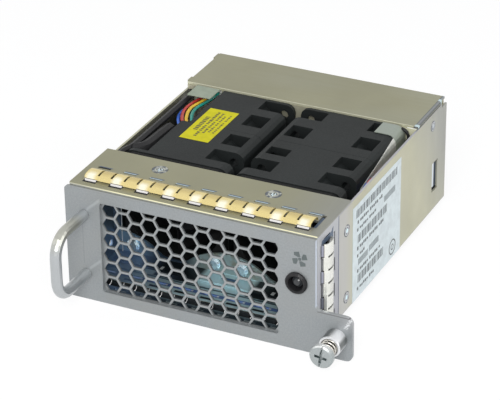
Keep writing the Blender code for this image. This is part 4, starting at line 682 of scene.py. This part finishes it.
NODE_LOOKS = {
    "faceplate": "plate",
    "front_frame": "frame",
    "tray": "tray",
    "rear_cover": "cover",
    "fan_bracket": "bracket",
    "rear_bulkhead": "bulkhead",
    "stiffener": "cover",
    "top_gasket": "gold",
    "bottom_gasket": "bottom",
    "right_gasket": "silver",
    "left_gasket": "silver",
    "handle": "bar",
    "screw_sleeve": "collar",
    "captive_screw": "head",
    "screw_spring": "spring",
    "light_bezel": "bezel",
    "light_lens": "lens",
    "lead_plug": "white",
    "left_tape": "tape",
    "right_tape": "foil",
    "rear_connector": "black",
    "connector_board": "board",
    "left_cable": "sleeve",
    "right_cable": "sleeve",
    "lead_blue": "blue",
    "lead_red": "red",
    "lead_yellow": "yellow",
    "lead_green": "green",
    "right_lead_red": "red",
    "right_lead_blue": "blue",
}
PREFIX_LOOKS = (
    ("fan_frame", "black"),
    ("impeller", "blade"),
    ("stator", "copper"),
    ("fan_gasket", "foam"),
    ("top_screw", "countersunk"),
    ("fan_screw", "glint"),
    ("side_screw", "flush"),
    ("rear_rivet", "rivet"),
)


def look_for(node):
    """A node's look by its own name, else by how its name starts, else bare steel."""
    if node in NODE_LOOKS:
        return looks[NODE_LOOKS[node]]
    for prefix, key in PREFIX_LOOKS:
        if node.startswith(prefix):
            return looks[key]
    return looks["steel"]


for node_name, node_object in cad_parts.items():
    node_object.data.materials.clear()
    node_object.data.materials.append(look_for(node_name))


def add_piece(name, shape, look, body=CHASSIS):
    """Object made from a shape, with its look, riding on a body."""
    bmesh.ops.recalc_face_normals(shape, faces=shape.faces)
    mesh = bpy.data.meshes.new(name)
    shape.to_mesh(mesh)
    shape.free()
    piece = bpy.data.objects.new(name, mesh)
    bpy.context.collection.objects.link(piece)
    mesh.materials.append(look)
    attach(piece, body)
    return piece


def slab(shape, outline, normal, thickness):
    """Thin sheet: an outline of points in place, thickened along a direction."""
    lift = Vector(normal) * thickness * MM
    low = [shape.verts.new(point) for point in outline]
    high = [shape.verts.new(point + lift) for point in outline]
    shape.faces.new(low)
    shape.faces.new(list(reversed(high)))
    for index in range(len(outline)):
        after = (index + 1) % len(outline)
        shape.faces.new((low[index], low[after], high[after], high[index]))


def circle_angles(steps):
    return [2 * math.pi * step / steps for step in range(steps)]


def skin(shape, rings):
    """Smooth faces that join each ring of points to the next."""
    for first, second in zip(rings, rings[1:]):
        for index in range(len(first)):
            after = (index + 1) % len(first)
            face = shape.faces.new((first[index], first[after], second[after], second[index]))
            face.smooth = True


def top_patch(shape, left, right, front, rear, level, thickness=0.04):
    """Thin rectangle that lies on a level surface."""
    outline = [at(left, front, level), at(right, front, level), at(right, rear, level), at(left, rear, level)]
    slab(shape, outline, (0, 0, 1), thickness)


def wall_patch(shape, front, rear, low, high, level, thickness=0.03):
    """Thin rectangle that stands on the right wall."""
    outline = [at(level, front, low), at(level, rear, low), at(level, rear, high), at(level, front, high)]
    slab(shape, outline, (1, 0, 0), thickness)


def make_lights():
    """Three soft square lamps, each given by its name, place, size and power."""
    panels = (
        ("key", (246.0, -489.0, 421.0), 300.0, 2.7),
        ("side", (620.0, 60.0, 260.0), 420.0, 1.2),
        ("fill", (-480.0, -200.0, 360.0), 420.0, 0.8),
    )
    for name, place, size, energy in panels:
        data = bpy.data.lights.new(name, "AREA")
        data.size = size * MM
        data.energy = energy
        lamp = bpy.data.objects.new(name, data)
        lamp.location = at(*place)
        aim = at(50.0, 50.0, 20.0) - lamp.location
        lamp.rotation_euler = aim.to_track_quat("-Z", "Y").to_euler()
        bpy.context.collection.objects.link(lamp)


def make_world():
    """Grey light from all around; the camera and mirrors see a white room."""
    world = bpy.data.worlds.new("studio")
    world.use_nodes = True
    nodes = world.node_tree.nodes
    links = world.node_tree.links
    room = nodes["Background"]
    room.inputs["Color"].default_value = (0.95, 0.97, 1.0, 1.0)
    room.inputs["Strength"].default_value = 0.5
    white = nodes.new("ShaderNodeBackground")
    white.inputs["Color"].default_value = (1.0, 1.0, 1.0, 1.0)
    white.inputs["Strength"].default_value = 1.0
    path = nodes.new("ShaderNodeLightPath")
    mixer = nodes.new("ShaderNodeMixShader")
    links.new(seen_by_eye(nodes, links, path), mixer.inputs[0])
    links.new(room.outputs[0], mixer.inputs[1])
    links.new(white.outputs[0], mixer.inputs[2])
    links.new(mixer.outputs[0], nodes["World Output"].inputs["Surface"])
    bpy.context.scene.world = world


def seen_by_eye(nodes, links, path):
    """1 for rays from the camera, from mirrors and through glass."""
    first = nodes.new("ShaderNodeMath")
    first.operation = "MAXIMUM"
    links.new(path.outputs["Is Camera Ray"], first.inputs[0])
    links.new(path.outputs["Is Glossy Ray"], first.inputs[1])
    second = nodes.new("ShaderNodeMath")
    second.operation = "MAXIMUM"
    links.new(first.outputs[0], second.inputs[0])
    links.new(path.outputs["Is Transmission Ray"], second.inputs[1])
    return second.outputs[0]


def make_floor():
    """White floor that keeps a pale shadow."""
    shape = bmesh.new()
    half = 3.0
    glow_strength = 1.06
    glow_share = 0.82
    low = at(50.0, 50.0, -0.05)
    corners = [(-half, -half), (half, -half), (half, half), (-half, half)]
    shape.faces.new([shape.verts.new(low + Vector((x, y, 0.0))) for x, y in corners])
    mesh = bpy.data.meshes.new("floor")
    shape.to_mesh(mesh)
    shape.free()
    floor = bpy.data.objects.new("floor", mesh)
    bpy.context.collection.objects.link(floor)
    look = bpy.data.materials.new("floor_white")
    look.use_nodes = True
    nodes = look.node_tree.nodes
    links = look.node_tree.links
    matt = nodes["Principled BSDF"]
    matt.inputs["Base Color"].default_value = (0.86, 0.86, 0.86, 1.0)
    matt.inputs["Roughness"].default_value = 0.9
    glow = nodes.new("ShaderNodeEmission")
    glow.inputs["Color"].default_value = (1.0, 1.0, 1.0, 1.0)
    glow.inputs["Strength"].default_value = glow_strength
    path = nodes.new("ShaderNodeLightPath")
    share = nodes.new("ShaderNodeMath")
    share.operation = "MULTIPLY"
    share.inputs[1].default_value = glow_share
    links.new(seen_by_eye(nodes, links, path), share.inputs[0])
    mixer = nodes.new("ShaderNodeMixShader")
    links.new(share.outputs[0], mixer.inputs[0])
    links.new(matt.outputs[0], mixer.inputs[1])
    links.new(glow.outputs[0], mixer.inputs[2])
    links.new(mixer.outputs[0], nodes["Material Output"].inputs["Surface"])
    mesh.materials.append(look)


make_lights()
make_world()
make_floor()


def make_yellow_label():
    """Bright label on the left fan with plain bars in place of its print."""
    level = FAN_TOP + 0.02
    shape = bmesh.new()
    top_patch(shape, 19.2, 30.6, 48.1, 73.3, level, 0.08)
    add_piece("fan_label", shape, plain_look("label_yellow", (0.62, 0.57, 0.004), 0.75))
    marks = bmesh.new()
    # left, right, then the front and rear of each run of print
    rows = (
        (20.9, 22.6, ((55.5, 66.5),)),
        (23.3, 24.4, ((51.0, 54.6), (55.4, 60.2), (61.0, 71.2))),
        (25.2, 26.1, ((54.2, 58.0), (58.8, 64.0), (64.8, 70.8))),
        (26.8, 27.6, ((55.4, 60.4), (61.2, 63.4), (64.2, 69.6))),
        (28.6, 29.3, ((55.2, 58.4), (59.2, 64.6), (65.4, 70.2))),
    )
    for left, right, spans in rows:
        for front, rear in spans:
            split_marks(marks, left, right, front, rear, level + 0.09)
    add_piece("fan_label_marks", marks, plain_look("label_ink", (0.10, 0.09, 0.01), 0.5))


def split_marks(shape, left, right, front, rear, level):
    """A run of short dashes, like a line of print seen from far away."""
    place = front
    index = 0
    gap = 0.42
    shortest = 0.4
    while place < rear - shortest:
        width = 0.75 + 0.35 * ((index * 7) % 3) / 2
        end = min(place + width, rear)
        inset = 0.12 * ((index * 5) % 2)
        top_patch(shape, left + inset, right - inset / 2, place, end, level, 0.02)
        place = end + gap
        index += 1


LABEL_ROWS = (
    # lower edge, upper edge, start, end, kind of mark
    (34.6, 37.7, 33.4, 68.6, "bars"),
    (32.0, 33.3, 34.4, 56.0, "print"),
    (29.2, 30.4, 34.0, 50.0, "print"),
    (29.0, 31.4, 57.6, 67.0, "grid"),
    (24.4, 27.6, 34.8, 60.6, "bars"),
    (21.8, 23.2, 34.2, 56.4, "print"),
    (19.0, 20.2, 34.2, 40.6, "print"),
    (15.6, 18.0, 35.2, 43.4, "grid"),
    (16.2, 18.6, 44.6, 53.0, "grid"),
    (12.9, 14.2, 34.4, 53.6, "print"),
    (8.6, 11.8, 35.0, 57.2, "bars"),
    (5.9, 7.1, 34.4, 48.0, "print"),
)


def make_side_label():
    """Pale label on the right wall with generic bars, dashes and a ring."""
    level = WALL_X + 0.01
    shape = bmesh.new()
    wall_patch(shape, 30.4, 72.8, 2.9, 39.7, level, 0.06)
    add_piece("side_label", shape, plain_look("label_pale", (0.575, 0.64, 0.66), 0.45))
    marks = bmesh.new()
    grids = bmesh.new()
    ink_level = level + 0.07
    ink_depth = 0.02
    for low, high, start, end, kind in LABEL_ROWS:
        place = start
        index = 0
        while place < end:
            if kind == "bars":
                width = (0.35, 0.8, 0.45, 0.95, 0.4)[index % 5]
                gap = (0.5, 0.45, 0.8, 0.4)[index % 4]
                wall_patch(marks, place, place + width, low, high, ink_level, ink_depth)
            elif kind == "print":
                width = 1.1
                gap = 0.4 if index % 5 else 1.2
                drop = 0.2 * ((index * 3) % 2)
                top = high - 0.15 * (index % 3)
                wall_patch(marks, place, place + width, low + drop, top, ink_level, ink_depth)
            else:
                width = 0.5
                gap = 0.28
                wall_patch(grids, place, place + width, low, high, ink_level, ink_depth)
            place += width + gap
            index += 1
    ink = plain_look("side_ink", (0.10, 0.115, 0.12), 0.5)
    add_piece("side_label_marks", marks, ink)
    add_piece("side_label_grids", grids, plain_look("side_ink_pale", (0.20, 0.23, 0.24), 0.5))
    ring = bmesh.new()
    for outer, inner in ((3.0, 2.5), (1.2, 0.8)):
        add_ring(ring, 65.7, 7.2, outer, inner, ink_level)
    add_piece("side_label_ring", ring, ink)


def add_ring(shape, y, z, outer, inner, level):
    """Thin flat ring on the right wall, in short straight steps."""
    steps = 32
    for index in range(steps):
        first = 2 * math.pi * index / steps
        second = 2 * math.pi * (index + 1) / steps
        outline = []
        for radius, angle in ((outer, first), (outer, second), (inner, second), (inner, first)):
            outline.append(at(level, y + radius * math.cos(angle), z + radius * math.sin(angle)))
        slab(shape, outline, (1, 0, 0), 0.02)


def make_fan_sign():
    """Small rotor pictogram on the faceplate above the status light."""
    shape = bmesh.new()
    centre = (88.1, 35.0)
    hub_radius = 0.6
    raised = 0.03
    for start in circle_angles(4):
        outline = []
        for radius, turn in ((0.9, -0.25), (2.8, 0.1), (3.1, 0.75), (2.4, 1.05), (0.9, 0.75)):
            angle = start + turn
            x = centre[0] + radius * math.cos(angle)
            outline.append(at(x, 0.0, centre[1] + radius * math.sin(angle)))
        slab(shape, outline, (0, -1, 0), raised)
    hub = []
    for angle in circle_angles(16):
        x = centre[0] + hub_radius * math.cos(angle)
        hub.append(at(x, 0.0, centre[1] + hub_radius * math.sin(angle)))
    slab(shape, hub, (0, -1, 0), raised)
    add_piece("fan_sign", shape, plain_look("sign_ink", (0.10, 0.12, 0.12), 0.5))


def make_strip_edges():
    """Painted shadows as dark edges of the lip windows and in the slots behind the fingers and at the side
    window's end, with the lips of the slots.
    """
    dark = bmesh.new()
    pale = bmesh.new()
    blue = bmesh.new()
    lip_front = 3.9
    lip_corner = 4.8
    lip_end = 5.6
    edge = 0.45
    top_patch(blue, 89.6, 90.8, 5.2, 15.0, STRIP_TOP - 0.6, 0.03)
    for index in range(0, TOP_FINGERS, 2):
        low = FINGER_START + index * FINGER_PITCH + 0.4
        high = low + FINGER_PITCH - 0.8
        top_patch(dark, low - edge, high + edge, lip_front, lip_corner, STRIP_TOP, 0.03)
        top_patch(dark, low - edge, low - 0.05, lip_corner, lip_end, STRIP_TOP, 0.03)
        top_patch(dark, high + 0.05, high + edge, lip_corner, lip_end, STRIP_TOP, 0.03)
        top_patch(dark if index == 0 else pale, low - 0.3, high + 0.3, 15.15, 15.65, STRIP_TOP)
        top_patch(blue, low - 0.1, high + 0.9, 15.75, 16.15, STRIP_TOP)
    for index in range(SIDE_FINGERS):
        low = SIDE_FINGER_START + index * FINGER_PITCH
        shift = 0.0 if index % 2 else 0.5
        wall_patch(dark, 4.5 - shift, 5.0 - shift, low, low + FINGER_PITCH, WALL_X)
    window_end = ((4.5, 39.0), (13.9, 37.9), (14.1, 41.6), (12.6, 40.2), (5.2, 40.6))
    slab(blue, [at(WALL_X, y, z) for y, z in window_end], (1, 0, 0), 0.05)
    joint = bmesh.new()
    wall_patch(joint, 18.5, 18.95, 3.2, 43.0, WALL_X)
    add_piece("wall_joint", joint, plain_look("joint_blue", (0.10, 0.12, 0.18), 0.6))
    # Dark pieces that stand for the shadows in the slots and along the lip windows.
    add_piece("slot_shadows", blue, plain_look("slot_shadow_blue", (0.07, 0.10, 0.15), 0.5))
    add_piece("window_edge_shadows", dark, plain_look("window_shadow", (0.010, 0.010, 0.012), 0.95))
    add_piece("slot_lips", pale, plain_look("slot_silver", (0.40, 0.50, 0.54), 0.3, 0.3))


def make_nook():
    """Behind the right fan's tape: the pale sheet and the black cable that bends in front of it."""
    sheet = bmesh.new()
    corners = ((87.6, 43.0), (93.0, 43.0), (93.0, 34.0), (89.4, 34.0))
    slab(sheet, [at(x, 88.35, z) for x, z in corners], (0, 1, 0), 0.1)
    add_piece("nook_sheet", sheet, plain_look("nook_cream", (0.62, 0.61, 0.44), 0.5))
    path = [(87.9, 42.7), (89.0, 42.4), (89.9, 41.6), (90.4, 40.4), (90.4, 39.2), (89.9, 38.1), (89.0, 37.1)]
    bend_centre = Vector((87.8, 39.6))
    depth = 87.5
    radius = 0.62
    cable = bmesh.new()
    rings = []
    for x, z in path:
        out = (Vector((x, z)) - bend_centre).normalized()
        ring = []
        for angle in circle_angles(8):
            side = radius * math.cos(angle)
            point = at(x + out.x * side, depth + radius * math.sin(angle), z + out.y * side)
            ring.append(cable.verts.new(point))
        rings.append(ring)
    skin(cable, rings)
    for end in (rings[0], rings[-1]):
        cable.faces.new(end).smooth = True
    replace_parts(add_piece("nook_cable", cable, looks["sleeve"]), "right_cable")


def make_flush_heads():
    """Heads of the side screws and the rivet, level with the wall."""
    spots = (
        ("side_screw_high", SIDE_SCREWS_Y, SIDE_SCREWS_Z[1], 2.2, "flush"),
        ("side_screw_low", SIDE_SCREWS_Y, SIDE_SCREWS_Z[0], 2.2, "flush"),
        ("rear_rivet", RIVET_Y, RIVET_Z, 2.0, "rivet"),
    )
    for node, y, z, radius, key in spots:
        shape = bmesh.new()
        outline = []
        for angle in circle_angles(28):
            outline.append(at(WALL_X - 0.1, y + radius * math.cos(angle), z + radius * math.sin(angle)))
        slab(shape, outline, (1, 0, 0), 0.22)
        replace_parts(add_piece("flush_" + node, shape, looks[key]), node)


def make_collar():
    """Sleeve of the captive screw, cut back so that the spring's first turns show."""
    # radius and depth along the sleeve's section
    profile = (
        (1.9, 1.0), (2.6, 1.0), (2.6, -0.1), (3.9, -0.1), (3.9, -5.6), (3.75, -6.0), (3.35, -6.15),
        (3.05, -6.0), (3.05, -2.2), (1.9, -2.2),
    )
    shape = bmesh.new()
    rings = []
    for angle in circle_angles(40):
        ring = []
        for radius, y in profile:
            point = at(CAPTIVE_X + radius * math.cos(angle), y, CAPTIVE_Z + radius * math.sin(angle))
            ring.append(shape.verts.new(point))
        rings.append(ring)
    skin(shape, rings + [rings[0]])
    collar = add_piece("screw_collar", shape, looks["collar"])
    sharp = collar.modifiers.new("edges", "EDGE_SPLIT")
    sharp.split_angle = math.radians(35)
    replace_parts(collar, "screw_sleeve")


def make_coil():
    """Spring of the captive screw, with a mesh of its own."""
    front = -10.75
    rear = -2.35
    turns = 5.5
    steps = 16
    coil_radius = 2.6
    wire = 0.36
    sides = 6
    count = int(turns * steps)
    shape = bmesh.new()
    rings = []
    for index in range(count + 1):
        angle = 2 * math.pi * index / steps
        depth = rear + (front - rear) * index / count
        out = Vector((math.cos(angle), 0.0, math.sin(angle)))
        ring = []
        for turn in circle_angles(sides):
            radius = coil_radius + wire * math.cos(turn)
            x = CAPTIVE_X + out.x * radius
            z = CAPTIVE_Z + out.z * radius
            ring.append(shape.verts.new(at(x, depth + wire * math.sin(turn), z)))
        rings.append(ring)
    skin(shape, rings)
    shape.faces.new(rings[0])
    shape.faces.new(rings[-1])
    coil = add_piece("screw_coil", shape, looks["spring"])
    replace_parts(coil, "screw_spring")
    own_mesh(coil)


def make_slit_shades():
    """Dark fins that stand for the shade in the slits between the lower fingers, so that no floor shines
    through them.
    """
    shape = bmesh.new()
    width = 0.76
    corners = ((6.0, 2.3), (11.6, 2.3), (10.9, 1.2), (6.7, 1.2))
    for index in range(1, TOP_FINGERS):
        left = FINGER_START + index * FINGER_PITCH - width / 2
        slab(shape, [at(left, y, z) for y, z in corners], (1, 0, 0), width)
    add_piece("slit_shades", shape, plain_look("slit_shade", (0.012, 0.015, 0.018), 0.8))


def make_bracket_edge():
    """Painted highlight on the bend of the sheet in front of the left fan, seen as a bright line through the
    grille.
    """
    shape = bmesh.new()
    corners = ((5.9, 4.4), (6.2, 4.4), (6.2, 36.0), (5.9, 36.0))
    slab(shape, [at(x, 27.9, z) for x, z in corners], (0, -1, 0), 0.1)
    add_piece("bracket_edge_highlight", shape, plain_look("edge_highlight", (0.90, 0.96, 1.0), 0.4))


make_strip_edges()
make_nook()
make_bracket_edge()
make_flush_heads()
make_collar()
make_coil()
make_slit_shades()
make_yellow_label()
make_side_label()
make_fan_sign()
